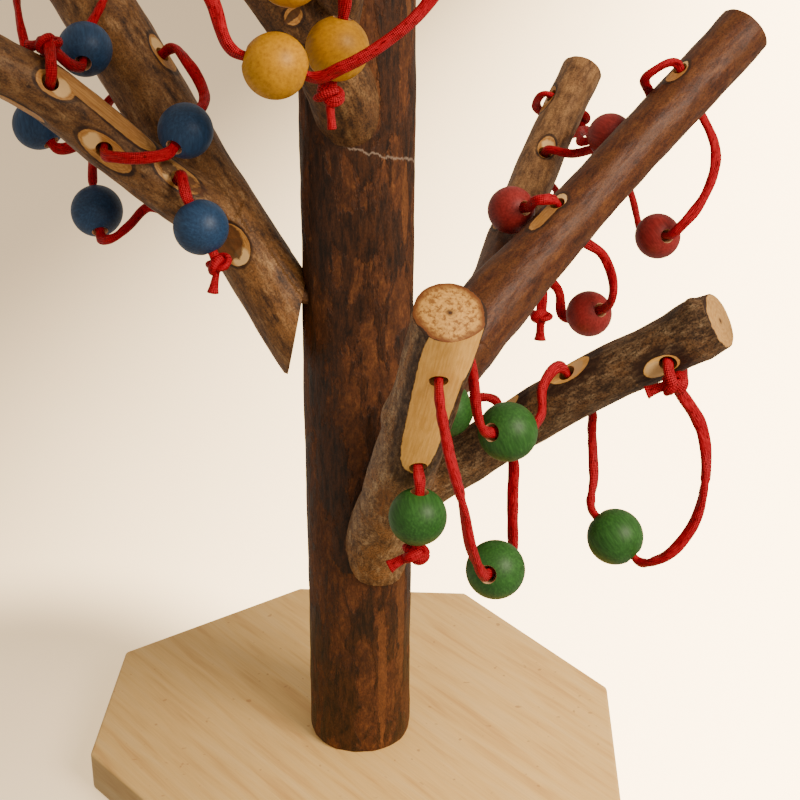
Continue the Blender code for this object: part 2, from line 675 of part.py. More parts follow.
def bend_handle(first, second):
    """Return the handle share that makes a round arc between two ways."""
    turn = max(first.angle(second), 0.01)
    return math.tan(turn / 4) / math.sin(turn / 2) * 2 / 3


def smooth_line(points, ways):
    """Return points along smooth arcs through points that leave along their ways."""
    line = [points[0]]
    for i in range(len(points) - 1):
        start, end = points[i], points[i + 1]
        chord = (end - start).length
        turn = ways[i].angle(ways[i + 1])
        lean = max(ways[i].angle(end - start), ways[i + 1].angle(end - start))
        steps = max(1, round(chord / CORD_STEP), math.ceil(max(turn, lean) / CORD_TURN))
        handle = chord * bend_handle(ways[i], ways[i + 1])
        one = start + ways[i] * handle
        two = end - ways[i + 1] * handle
        for k in range(1, steps + 1):
            t = k / steps
            s = 1.0 - t
            line.append(start * s ** 3 + one * 3 * s * s * t + two * 3 * s * t * t + end * t ** 3)
    return line


def circle_way(before, point, after):
    """Return the way of the circle through three points, at the middle one."""
    one = point - before
    two = after - point
    return (one.normalized() * two.length + two.normalized() * one.length).normalized()


def cord_line(cord):
    """Return a cord's line from its stop knot to its tie."""
    stop, way = stop_place(cord)
    points = [stop + way * (KNOT_RADIUS + GAP)]
    ways = [way]
    for step in CORD_ROUTES[cord]:
        if isinstance(step, str):
            low, high, way = through_run(step)
            if len(points) > 1:
                points.append(low)
                ways.append(way)
            points.append(high)
            ways.append(way)
        else:
            points.append(Vector(step))
            ways.append(None)
    tie = tie_place(cord)
    way = (tie - points[-1]).normalized()
    points.append(tie - way * (KNOT_RADIUS + GAP))
    ways.append(way)
    for i in range(1, len(points) - 1):
        if ways[i] is None:
            ways[i] = circle_way(points[i - 1], points[i], points[i + 1])
    return smooth_line(points, ways)


def build_cord(cord, part):
    """One free cord's tube, from its stop knot to its tie."""
    line = cord_line(cord)
    curve = bpy.data.curves.new(cord, "CURVE")
    curve.dimensions = "3D"
    curve.bevel_depth = CORD_RADIUS
    curve.bevel_resolution = 2
    curve.use_fill_caps = True
    spline = curve.splines.new("POLY")
    spline.points.add(len(line) - 1)
    for point, spot in zip(spline.points, line):
        point.co = (*spot, 1.0)
    spline.use_smooth = True
    add(cord, curve, part, "cord_satin")


def knot_form(spot, way):
    """Return a bmesh of a knot's ball, with its poles along its cord."""
    form = bmesh.new()
    turn = Vector((0.0, 0.0, 1.0)).rotation_difference(way.normalized())
    where = Matrix.Translation(spot) @ turn.to_matrix().to_4x4()
    bmesh.ops.create_uvsphere(form, u_segments=KNOT_SIDES, v_segments=KNOT_SIDES // 2 + 1,
                              radius=KNOT_RADIUS, matrix=where)
    return form


def add_knot(name, spot, way, tail, part, cutters, loop=None):
    """Add a knot's ball joined with its cut tail, and with its loop where it ties one."""
    form = knot_form(spot, way)
    knot = add(name, to_mesh(form, name), part, "cord_satin")
    form = bmesh.new()
    tail = Vector(tail).normalized()
    add_cylinder(form, spot, tail, CORD_RADIUS, CORD_RADIUS, TAIL_LENGTH, KNOT_SIDES - 2)
    boolean(knot, add_cutter(name + "_tail", to_mesh(form, name + "_tail"), cutters), "UNION")
    if loop:
        form = bmesh.new()
        loft(form, loop, [CORD_RADIUS] * len(loop), KNOT_SIDES - 2)
        ring = add_cutter(name + "_loop", to_mesh(form, name + "_loop"), cutters)
        boolean(knot, ring, "UNION")


def hitch_loop(cord):
    """Return the line of a hitch's loop: from the knot, through the hole and round the arm."""
    centre, way, half = hole_run(HITCHES[cord][0])
    side = hitch_side(cord)
    wide = half + HITCH_SLACK
    tie = tie_place(cord)
    short = half + BEAD_LEAD
    corner = math.sqrt(0.5)
    points = [
        tie - way * CORD_RADIUS, centre - way * short, centre + way * short,
        centre + (way + side) * wide * corner, centre + side * wide, tie,
    ]
    ways = [-(way + side).normalized(), way, way, (side - way).normalized(), -way,
            -(way + side).normalized()]
    ways[0] = (-side - way * 0.5).normalized()
    ways[3] = circle_way(points[2], points[3], points[4])
    return smooth_line(points, ways)


def build_knots(cord, part, cutters):
    """One cord's stop knot and its tie."""
    spot, way = stop_place(cord)
    add_knot(cord + "_stop_knot", spot, way, TAIL_WAYS[cord], part, cutters)
    tail = HITCHES[cord][2]
    add_knot(cord + "_tie", tie_place(cord), hitch_side(cord), tail, part, cutters,
             hitch_loop(cord))


def build():
    """Build the whole tree."""
    clear_scene()
    part, cutters = make_groups()
    build_board(part, cutters)
    build_trunk(part, cutters)
    for fork in FORKS:
        build_fork(fork, part, cutters)
    build_fixings(part)
    build_beads(part)
    for cord in CORD_ROUTES:
        build_cord(cord, part)
        build_knots(cord, part, cutters)


build()
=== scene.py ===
"""Threading tree, dressed: barked forks on a trunk, dyed beads on satin cords, a pine board.

Metres, +Z up, +Y away from the viewer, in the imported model's frame. Branch, hole and cord
places are the part's own, so every dressed piece lies where its solid does.
"""

import json
import logging
import math
from collections.abc import Callable
from dataclasses import dataclass, field
from enum import Enum
from functools import partial

import bmesh
import bpy
import numpy as np
from mathutils import Matrix, Vector, noise


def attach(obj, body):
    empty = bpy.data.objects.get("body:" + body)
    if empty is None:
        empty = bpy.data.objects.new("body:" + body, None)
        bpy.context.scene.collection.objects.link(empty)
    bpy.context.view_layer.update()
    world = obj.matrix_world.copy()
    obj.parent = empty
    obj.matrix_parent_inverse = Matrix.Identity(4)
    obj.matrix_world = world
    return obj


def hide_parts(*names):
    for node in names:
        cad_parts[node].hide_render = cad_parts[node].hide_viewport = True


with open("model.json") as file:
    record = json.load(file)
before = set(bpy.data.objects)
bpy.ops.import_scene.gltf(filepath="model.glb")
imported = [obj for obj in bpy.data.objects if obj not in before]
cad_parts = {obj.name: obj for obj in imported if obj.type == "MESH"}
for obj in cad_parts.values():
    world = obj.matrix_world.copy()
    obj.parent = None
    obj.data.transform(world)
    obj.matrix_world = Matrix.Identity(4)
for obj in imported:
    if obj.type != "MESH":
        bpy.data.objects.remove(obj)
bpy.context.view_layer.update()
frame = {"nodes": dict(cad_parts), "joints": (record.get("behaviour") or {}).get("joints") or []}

LOG = logging.getLogger("threading_tree")

MM = 0.001
UP = Vector((0.0, 0.0, 1.0))
FIRST_END, PLAIN_END = 1, 2  # a fork's material slots after its bark: end grains
SECOND_ARM = 0.5  # where a fork's second arm starts along the straightened branch, in metres
DEEP = -5.0 * MM  # how far under the bark a place that no knife came near counts
RUN_OUT = 1.6  # how many times its half length a cut may run out along the arm
SAWN_EDGE = math.radians(42.0)  # a sharper edge than this stays crisp on sawn wood

Socket = bpy.types.NodeSocket
Material = bpy.types.Material
Object = bpy.types.Object
Adder = Callable[..., Socket]

# Overall sizes, as in the part
TREE_HEIGHT = 0.400
BOARD_SPAN = 0.220
BOARD_THICKNESS = 0.018
BOARD_TURN = -2.34
TRUNK_RADIUS = TREE_HEIGHT * 0.0525
TRUNK_TOP = TREE_HEIGHT * 0.93
STEM_GREEN = TREE_HEIGHT * 0.0315
STEM_RED = TREE_HEIGHT * 0.0375
STEM_BLUE = TREE_HEIGHT * 0.033
STEM_YELLOW = TREE_HEIGHT * 0.03
BEAD_RADIUS = TREE_HEIGHT * 0.025
HOLE_RADIUS = 0.0031
BORE_RADIUS = 0.0028
CORD_RADIUS = 0.0019
KNOT_RADIUS = 0.0040
HITCH_SLACK = 0.0040
GAP = 0.0003
BEAD_LEAD = 0.0005

# The board's outline, in shares of its span
BOARD_OUTLINE_SHARES = [
    (-0.168, 0.488), (0.200, 0.488), (0.490, 0.145), (0.490, -0.264),
    (0.273, -0.490), (-0.140, -0.490), (-0.506, -0.121), (-0.506, 0.220),
]

# The trunk's swelling: height and girth shares
TRUNK_SHARES = [
    (0.000, 0.975), (0.006, 1.000), (0.300, 1.005), (0.650, 0.995),
    (0.994, 0.990), (1.000, 0.965),
]

# Branch routes: x, y, z in thousandths of the tree's height, girth in those of the stem
ARM_SHARES = {
    "green_front": (STEM_GREEN, [
        (19, -30, 268, 1000), (20, -50, 298, 1008), (34, -110, 380, 970), (49, -175, 465, 920),
        (64, -238, 553, 873), (77, -294, 638, 897),
    ]),
    "green_side": (STEM_GREEN, [
        (30, -100, 368, 794), (63, -101, 391, 778), (96, -104, 416, 762), (142, -114, 455, 754),
        (200, -130, 503, 778), (275, -155, 558, 786), (291, -160, 571, 845),
        (306, -166, 581, 778),
    ]),
    "red_long": (STEM_RED, [
        (15, 8, 375, 1000), (55, 30, 415, 987), (95, 63, 452, 973), (139, 108, 491, 947),
        (190, 153, 533, 813), (249, 207, 581, 773), (328, 270, 646, 767), (412, 343, 713, 793),
    ]),
    "red_short": (STEM_RED, [
        (116, 94, 463, 800), (139, 160, 481, 747), (154, 222, 500, 693), (181, 307, 540, 660),
        (215, 390, 588, 633), (252, 466, 638, 640),
    ]),
    "blue_rear": (STEM_BLUE, [
        (-40, -35, 490, 985), (-54, -24, 509, 1000), (-83, 0, 551, 1000), (-136, 41, 619, 1008),
        (-207, 100, 717, 1045), (-267, 150, 800, 1106), (-320, 195, 875, 1045),
    ]),
    "blue_side": (STEM_BLUE, [
        (-100, 10, 580, 795), (-126, 20, 603, 818), (-165, 11, 632, 811), (-199, 3, 663, 780),
        (-221, -4, 685, 780), (-274, -21, 736, 773), (-307, -33, 760, 742),
        (-350, -48, 793, 727),
    ]),
    "yellow_left": (STEM_YELLOW, [
        (-3, -15, 700, 1000), (-8, -43, 731, 1017), (-16, -65, 760, 1000), (-35, -90, 795, 800),
        (-65, -118, 843, 717), (-95, -150, 898, 683), (-140, -200, 986, 658),
    ]),
    "yellow_right": (STEM_YELLOW, [
        (-20, -63, 768, 875), (-19, -83, 800, 767), (-11, -113, 840, 708), (0, -150, 895, 700),
        (21, -204, 980, 683),
    ]),
}

# Each fork: its two arms, its seat on the trunk in thousandths, and the seat's outward way
FORKS = {
    "fork_green": ("green_front", "green_side", (19, -49, 296), (0.0, -1.0, 0.0)),
    "fork_red": ("red_long", "red_short", (45, 22, 405), (0.81, 0.59, 0.0)),
    "fork_blue": ("blue_rear", "blue_side", (-57, -21, 513), (-0.98, 0.0, 0.196)),
    "fork_yellow": ("yellow_left", "yellow_right", (-10, -49, 739), (0.0, -1.0, 0.0)),
}

# Cord holes: arm, place in thousandths, way from the front mouth to the rear one
HOLE_SHARES = {
    "green_front_low": ("green_front", (53, -190, 486), (-0.10, 0.62, 0.78)),
    "green_front_high": ("green_front", (70, -263, 592), (0.00, 0.83, 0.55)),
    "green_side_low": ("green_side", (136, -113, 451), (0.25, 0.12, -0.96)),
    "green_side_mid": ("green_side", (197, -129, 500), (0.50, 0.25, -0.82)),
    "green_side_high": ("green_side", (268, -153, 552), (0.10, 0.95, 0.25)),
    "red_long_low": ("red_long", (215, 175, 553), (0.50, 0.40, -0.77)),
    "red_long_high": ("red_long", (349, 289, 663), (0.47, 0.23, -0.85)),
    "red_short_low": ("red_short", (158, 242, 507), (0.46, 0.00, -0.89)),
    "red_short_mid": ("red_short", (199, 349, 566), (-0.10, 0.75, -0.60)),
    "red_short_high": ("red_short", (232, 426, 610), (-0.80, -0.35, 0.50)),
    "blue_side_low": ("blue_side", (-171, 9, 635), (-0.35, 0.62, -0.70)),
    "blue_side_mid": ("blue_side", (-226, -6, 690), (-0.10, 0.95, 0.20)),
    "blue_side_high": ("blue_side", (-271, -20, 734), (-0.30, 0.75, -0.60)),
    "blue_rear_low": ("blue_rear", (-210, 103, 721), (-0.75, 0.18, -0.64)),
    "blue_rear_high": ("blue_rear", (-278, 160, 816), (-0.80, 0.55, 0.10)),
    "yellow_right_low": ("yellow_right", (-4, -136, 875), (0.00, 0.85, 0.50)),
    "yellow_right_mid": ("yellow_right", (5, -164, 918), (0.00, 0.85, 0.50)),
    "yellow_right_high": ("yellow_right", (12, -183, 947), (-0.50, 0.75, 0.30)),
    "yellow_left_low": ("yellow_left", (-86, -140, 880), (0.20, 0.80, 0.50)),
    "yellow_left_high": ("yellow_left", (-114, -170, 934), (0.20, 0.80, 0.50)),
}

# Cord routes in mm, from the stop knot: pieces passed through, and free points between.
# A hole with a minus sign is entered at its rear mouth.
CORD_ROUTES = {
    "cord_green": [
        "bead_green_1", "green_front_low", (18.5, -54, 203), (14.5, -50, 194), "bead_green_2",
        "green_side_low", (57, -55, 159), (56.5, -66, 153), (56, -77, 150), "bead_green_3",
        (40, -118, 172), (36, -120, 192), (31, -120, 212), "green_front_high", (33, -86, 243.5),
        (38.5, -89, 228), "bead_green_4", (64, -72, 199.5), (65, -65, 207.5), "green_side_mid",
        (84.8, -49.6, 183), (85.5, -57.3, 169), "bead_green_5", (107, -80, 148),
        (117, -79, 159), (121.5, -75, 175), (120, -71.5, 193),
    ],
    "cord_blue": [
        "bead_blue_1", "blue_side_low", (-81.5, 19.5, 242), (-87.5, 15, 236.5),
        (-94, 12, 232.5), "bead_blue_2", (-103, 36, 258), (-98, 24, 272), "-blue_side_mid",
        (-82.4, -20.2, 274), (-73.6, -20.2, 274), "bead_blue_3", (-58.6, 22.8, 290),
        (-62.7, 25.7, 296), "blue_rear_low", (-108, 38, 262), "bead_blue_4", (-130.5, 59, 292),
        (-133.5, 65.5, 305), (-135, 74, 316), "-blue_rear_high", (-90.5, 45, 328),
        (-95, 37, 316.5), "bead_blue_5", (-101, 2, 301),
    ],
    "cord_red": [
        (78, 95, 182), "-red_short_low", "bead_red_1", (73, 61, 233), "red_long_low",
        (103.5, 82, 200), (106, 70.5, 187), "bead_red_2", (89, 100, 166), (86.8, 105, 176),
        "bead_red_3", (84.5, 137, 204.5), (87.5, 154, 208.5), (80.5, 159, 212),
        "-red_short_mid", (91.5, 127, 233), (105, 133, 233), (117, 137.5, 219), "bead_red_4",
        (137, 92, 212), (147, 98, 224), (152, 110, 240), "-red_long_high", (121, 110, 273),
        (124, 121.5, 257), "bead_red_5", (96, 137, 239.5), (101.5, 152, 236.5),
        (106.5, 166, 228),
    ],
    "cord_yellow": [
        "bead_yellow_1", "yellow_right_low", "bead_yellow_2", "-yellow_left_low",
        "bead_yellow_3", "yellow_right_mid", "bead_yellow_4", "-yellow_left_high",
        (-47, -80.5, 359), (-40.4, -82.5, 341), "bead_yellow_5", (-1, -93.5, 324),
        (11, -93, 331), (23.6, -90, 342), (30, -89, 354), (27, -88, 366),
    ],
}

# Where the red cord's stop knot hangs, in mm
RED_STOP = (77.6, 87.5, 171)

# The way each stop knot's tail points
TAIL_WAYS = {
    "cord_green": (-1.0, -0.2, -0.35),
    "cord_blue": (-0.25, -0.2, -1.0),
    "cord_red": (0.0, -0.1, -1.0),
    "cord_yellow": (0.1, -0.2, -1.0),
}

# Ties at the cords' other ends: hole, the knot's place in mm, the tail's way
HITCHES = {
    "cord_green": ("green_side_high", (108.5, -73, 212.5), (-1.0, 0.1, -0.3)),
    "cord_blue": ("blue_side_high", (-107, -6.5, 310.5), (-0.85, 0.5, -0.1)),
    "cord_red": ("red_short_high", (99, 179.3, 233.5), (-0.21, 0.61, -0.76)),
    "cord_yellow": ("yellow_right_high", (13, -85, 374), (-0.7, -0.6, -0.4)),
}


# ------------------------------------------------------------------ materials


def linear(code: str) -> tuple[float, float, float, float]:
    """Turn an sRGB hex colour into linear RGBA.

    Args:
        code: A colour such as "#c81e1e".

    Returns:
        Red, green, blue and alpha, in linear light.
    """
    parts = [int(code[i:i + 2], 16) / 255.0 for i in (1, 3, 5)]
    bright = [p / 12.92 if p <= 0.04045 else ((p + 0.055) / 1.055) ** 2.4 for p in parts]
    return (*bright, 1.0)


def per_mm(*sizes: float) -> tuple[float, ...] | float:
    """Return the pattern scale, per metre, of details of the given sizes in millimetres."""
    scales = tuple(1.0 / (size * MM) for size in sizes)
    return scales if len(scales) > 1 else scales[0]


def feed(node: bpy.types.Node, values: dict) -> None:
    """Link or set a node's inputs.

    Args:
        node: The node.
        values: Input name or number to a value, a hex colour or the socket that feeds it.
    """
    for key, value in values.items():
        if isinstance(value, bpy.types.NodeSocket):
            node.id_data.links.new(value, node.inputs[key])
        else:
            node.inputs[key].default_value = linear(value) if isinstance(value, str) else value


def add_node(tree: bpy.types.NodeTree, kind: str, *values, out: int | str | None = 0,
             **named) -> Socket:
    """Add a node with its settings and links.

    Args:
        tree: The node tree.
        kind: The node's type name, after "ShaderNode", and its operation if it has one.
        values: What its inputs get, in their order; None leaves one as it is.
        out: The output that is wanted, or None for all of them.
        named: Settings, and inputs by name where that has a capital; "stops" holds a
            ramp's (place, colour) pairs.

    Returns:
        The wanted output.
    """
    kind, _, operation = kind.partition(" ")
    made = tree.nodes.new("ShaderNode" + kind)
    if operation:
        made.operation = operation
    inputs = {number: value for number, value in enumerate(values) if value is not None}
    for name, value in named.items():
        if name == "stops":
            ramp = made.color_ramp.elements
            while len(ramp) < len(value):
                ramp.new(0.5)
            for stop, (place_on, colour) in zip(ramp, value):
                stop.position = place_on
                stop.color = linear(colour) if isinstance(colour, str) else (*[colour] * 3, 1.0)
        elif name[0].isupper():
            inputs[name] = value
        else:
            setattr(made, name, value)
    feed(made, inputs)
    return made.outputs if out is None else made.outputs[out]


def new_material(name: str) -> tuple[Material, bpy.types.Node, Adder]:
    """Make an empty node material.

    Args:
        name: The material's name.

    Returns:
        The material, its Principled shader and what adds a node to it.
    """
    material = bpy.data.materials.new(name)
    material.use_nodes = True
    tree = material.node_tree
    return material, tree.nodes["Principled BSDF"], partial(add_node, tree)


class Blend(Enum):
    """How one colour is laid over another."""

    MIX = "MIX"
    MULTIPLY = "MULTIPLY"


def lay(add: Adder, share: Socket | float, under: Socket | str, over: Socket | str,
        blend: Blend = Blend.MIX) -> Socket:
    """Lay one colour over another.

    Args:
        add: Adds a node.
        share: How much of the upper colour shows.
        under: The lower colour.
        over: The upper colour.
        blend: How the two mix.

    Returns:
        The colour.
    """
    return add("Mix", share, *[None] * 5, under, over, data_type="RGBA",
               blend_type=blend.value, out=2)


def speckle(add: Adder, spot: Socket, sizes: tuple, detail: float, rough: float = 0.5,
            shift: float = 0.0, distort: float = 0.0) -> Socket:
    """Lay out noise.

    Args:
        add: Adds a node.
        spot: The place on the piece, in metres.
        sizes: How large its details are along each axis, in millimetres.
        detail: How many finer layers it has.
        rough: How strong those are.
        shift: A shift that gives other noise.
        distort: How much it is drawn out of shape.

    Returns:
        The noise, from 0 to 1.
    """
    spread = add("Mapping", spot, Scale=per_mm(*sizes), Location=(shift, shift, shift))
    return add("TexNoise", spread, Scale=1.0, Detail=detail, Roughness=rough,
               Distortion=distort)


@dataclass(frozen=True)
class BranchBark:
    """Thin bark of a hazel or willow branch, whittled to pale wood in places.

    The bark is matt and mottled, with short streaks along the branch and small pale marks.
    The knife leaves smooth tan wood whose years show as rings round each scoop, with a paler
    fresh edge beside the drilled mouths and a dark line of bark round it, which a wide rim
    turns into a band that is partly painted shade. A scraped place keeps brown inner bark.
    The fork's second arm has a tint of its own, which fades in along it, as one branch of a
    fork is often older than the other.
    """

    name: str
    dark: str
    mid: str
    pale: str
    blotch: str
    wood: str = "#c08c4a"
    wood_dark: str = "#946028"
    cream: str = "#dcb478"
    rim: str = "#2c180b"
    scraped: str = "#7a4a22"
    roughness: float = 0.6
    streak_mm: float = 1.8
    stipple: float = 0.18
    marks: float = 0.35
    bump_mm: float = 0.35
    rim_mm: float = 0.35
    year_mm: float = 0.26
    years: float = 0.5
    second: str = "#ffffff"
    second_share: float = 0.0
    second_uneven: float = 0.6
    second_mm: tuple = (45.0, 90.0)

    def noise(self, add: Adder, grain: Socket, sizes: tuple, detail: float = 5.0) -> Socket:
        """Return noise over the straightened branch, with details of the given sizes in mm."""
        return speckle(add, grain, sizes, detail, 0.62)

    def bark(self, add: Adder, grain: Socket, streaks: Socket, specks: Socket) -> Socket:
        """Mix the bark's colour: mottling, blotches, pale marks, the tint and fine pits.

        Args:
            add: Adds a node.
            grain: The place on the straightened branch.
            streaks: Coarse noise along it.
            specks: Fine noise.

        Returns:
            The colour.
        """
        cloud = self.noise(add, grain, (4.6, 4.6, 9.0))
        mottle = add("Mix", 0.5, None, streaks, cloud)
        colour = add("ValToRGB", mottle, stops=(
            (0.38, self.dark), (0.50, self.mid), (0.63, self.pale)))
        patch = add("ValToRGB", self.noise(add, grain, (7.0, 7.0, 13.0)),
                    stops=((0.47, 0.0), (0.60, 0.7)))
        colour = lay(add, patch, colour, self.blotch)
        marks = add("ValToRGB", self.noise(add, grain, (1.9, 1.9, 1.0), 2.0),
                    stops=((0.62, 0.0), (0.70, self.marks)))
        colour = lay(add, marks, colour, self.pale)
        along = add("SeparateXYZ", grain, out="Z")
        start, end = (SECOND_ARM + size * MM for size in self.second_mm)
        arm = add("MapRange", along, start, end, 0.0, self.second_share)
        mottled = add("MapRange", mottle, 0.40, 0.60, 1.0 - self.second_uneven,
                      1.0 + self.second_uneven)
        arm = add("Math MULTIPLY", arm, mottled)
        colour = lay(add, arm, colour, self.second)
        pits = add("ValToRGB", specks, stops=(
            (0.38, 1.0 - 2.4 * self.stipple), (0.56, 1.0 + 0.4 * self.stipple)))
        return lay(add, 1.0, colour, pits, Blend.MULTIPLY)

    def pared(self, add: Adder, grain: Socket, edge: Socket, fibres: Socket) -> Socket:
        """Mix the bare wood's colour: fibres, years, stains and the fresh edges.

        Args:
            add: Adds a node.
            grain: The place on the straightened branch.
            edge: How deep the knife went under the bark.
            fibres: Noise along the fibres.

        Returns:
            The colour.
        """
        stains = self.noise(add, grain, (3.2, 3.2, 7.0))
        wood = add("ValToRGB", fibres, stops=((0.30, self.wood_dark), (0.60, self.wood)))
        wave = add("Math MULTIPLY", edge, math.tau / (self.year_mm * MM))
        wave = add("Math SINE", wave)
        years = add("MapRange", wave, -0.2, 0.9, 0.0, self.years)
        wood = lay(add, years, wood, self.wood_dark)
        stain = add("ValToRGB", stains, stops=((0.46, 0.0), (0.64, 0.6)))
        wood = lay(add, stain, wood, self.wood_dark)
        fresh = add("Attribute", attribute_name="fresh", out="Fac")
        ragged = add("Math MULTIPLY_ADD", stains, 0.5, fresh)
        light = add("MapRange", ragged, 0.60, 0.74)
        return lay(add, light, wood, self.cream)

    def build(self) -> Material:
        """Build the bark's node material."""
        material, shader, add = new_material(self.name)
        grain = add("Attribute", attribute_name="grain", out="Vector")
        size = self.streak_mm
        streaks = self.noise(add, grain, (size, size, size * 3.4), 8.0)
        specks = self.noise(add, grain, (0.6, 0.6, 0.8), 3.0)
        fibres = self.noise(add, grain, (0.8, 0.8, 14.0), 6.0)
        wander = add("MapRange", self.noise(add, grain, (2.6, 2.6, 3.4)), 0.0, 1.0, -0.5, 0.5)
        edges = []
        for name, uneven in (("peel", 0.35), ("scrape", 1.6)):
            depth = add("Attribute", attribute_name=name, out="Fac")
            edges.append(add("Math MULTIPLY_ADD", wander, uneven * MM, depth))
        peel, scrape = edges
        colour = self.bark(add, grain, streaks, specks)
        worn = add("MapRange", scrape, 0.0, 0.30 * MM, 0.0, 0.9)
        inner = add("ValToRGB", streaks, stops=((0.36, self.dark), (0.60, self.scraped)))
        # the dark line of cut bark round a bare place; a large rim_mm widens it into partly
        # painted shade
        line = add("MapRange", peel, -1.4 * self.rim_mm * MM, -0.7 * self.rim_mm * MM)
        broken = add("MapRange", streaks, 0.60, 0.40, 0.65, 1.0)
        line = add("Math MULTIPLY", line, broken)
        colour = lay(add, line, colour, self.rim)
        bare = add("MapRange", peel, 0.04 * MM, 0.12 * MM)
        colour = lay(add, bare, colour, self.pared(add, grain, peel, fibres))
        colour = lay(add, worn, colour, inner)
        rough = add("MapRange", streaks, 0.0, 1.0, self.roughness + 0.12,
                    self.roughness - 0.12)
        height = add("Mix", bare, None, streaks, fibres)
        height = add("Math MULTIPLY_ADD", specks, 0.2 + self.stipple, height)
        relief = add("MapRange", bare, 0.0, 1.0, 1.0, 0.35)
        bump = add("Bump", Strength=relief, Distance=self.bump_mm * MM, Height=height)
        feed(shader, {"Base Color": colour, "Roughness": rough, "Normal": bump,
                      "Specular IOR Level": 0.27})
        return material


@dataclass(frozen=True)
class SawnWood:
    """End grain of a sawn branch: pale and speckled, with faint rings and a soft brown rim."""

    name: str
    wood: str = "#cda166"
    mottle: str = "#94622c"
    rim: str = "#6a421e"
    pith: str = "#4a2c14"
    bark: str = "#2e1a0d"
    ring_mm: float = 1.5
    pith_mm: tuple = (3.1, 1.9)
    rim_mm: float = 0.7
    blots: float = 0.35
    blot_mm: float = 1.7

    def build(self) -> Material:
        """Build the end grain's node material."""
        material, shader, add = new_material(self.name)
        grain = add("Attribute", attribute_name="grain", out="Vector")
        girth = add("Attribute", attribute_name="girth", out="Fac")
        flat = add("VectorMath MULTIPLY", grain, (1.0, 1.0, 0.0))
        reach = add("VectorMath LENGTH", flat, out="Value")
        wobble = add("TexNoise", grain, Scale=per_mm(4.5), Detail=4.0)
        out = add("Math MULTIPLY_ADD", wobble, 3.0 * MM, reach)
        wave = add("Math MULTIPLY", out, math.tau / (self.ring_mm * MM))
        rings = add("Math SINE", wave)
        shade = add("MapRange", rings, -1.0, 1.0, 0.0, 0.25)
        colour = lay(add, shade, self.wood, self.mottle)
        blots = add("TexNoise", grain, Scale=per_mm(self.blot_mm), Detail=7.0, Roughness=0.72)
        dark = add("ValToRGB", blots, stops=((0.47, 0.0), (0.58, self.blots)))
        colour = lay(add, dark, colour, self.mottle)
        heart = add("MapRange", out, *(size * MM for size in self.pith_mm))
        colour = lay(add, heart, colour, self.pith)
        depth = add("Math SUBTRACT", girth, out)
        for over, wide, soft in ((self.rim, self.rim_mm, 2.2), (self.bark, 0.5, 0.2)):
            near = add("MapRange", depth, (wide - 1.5) * MM, (wide - soft - 1.5) * MM)
            colour = lay(add, near, colour, over)
        bump = add("Bump", Strength=0.6, Distance=0.25 * MM, Height=blots)
        feed(shader, {"Base Color": colour, "Normal": bump, "Roughness": 0.72,
                      "Specular IOR Level": 0.3})
        return material


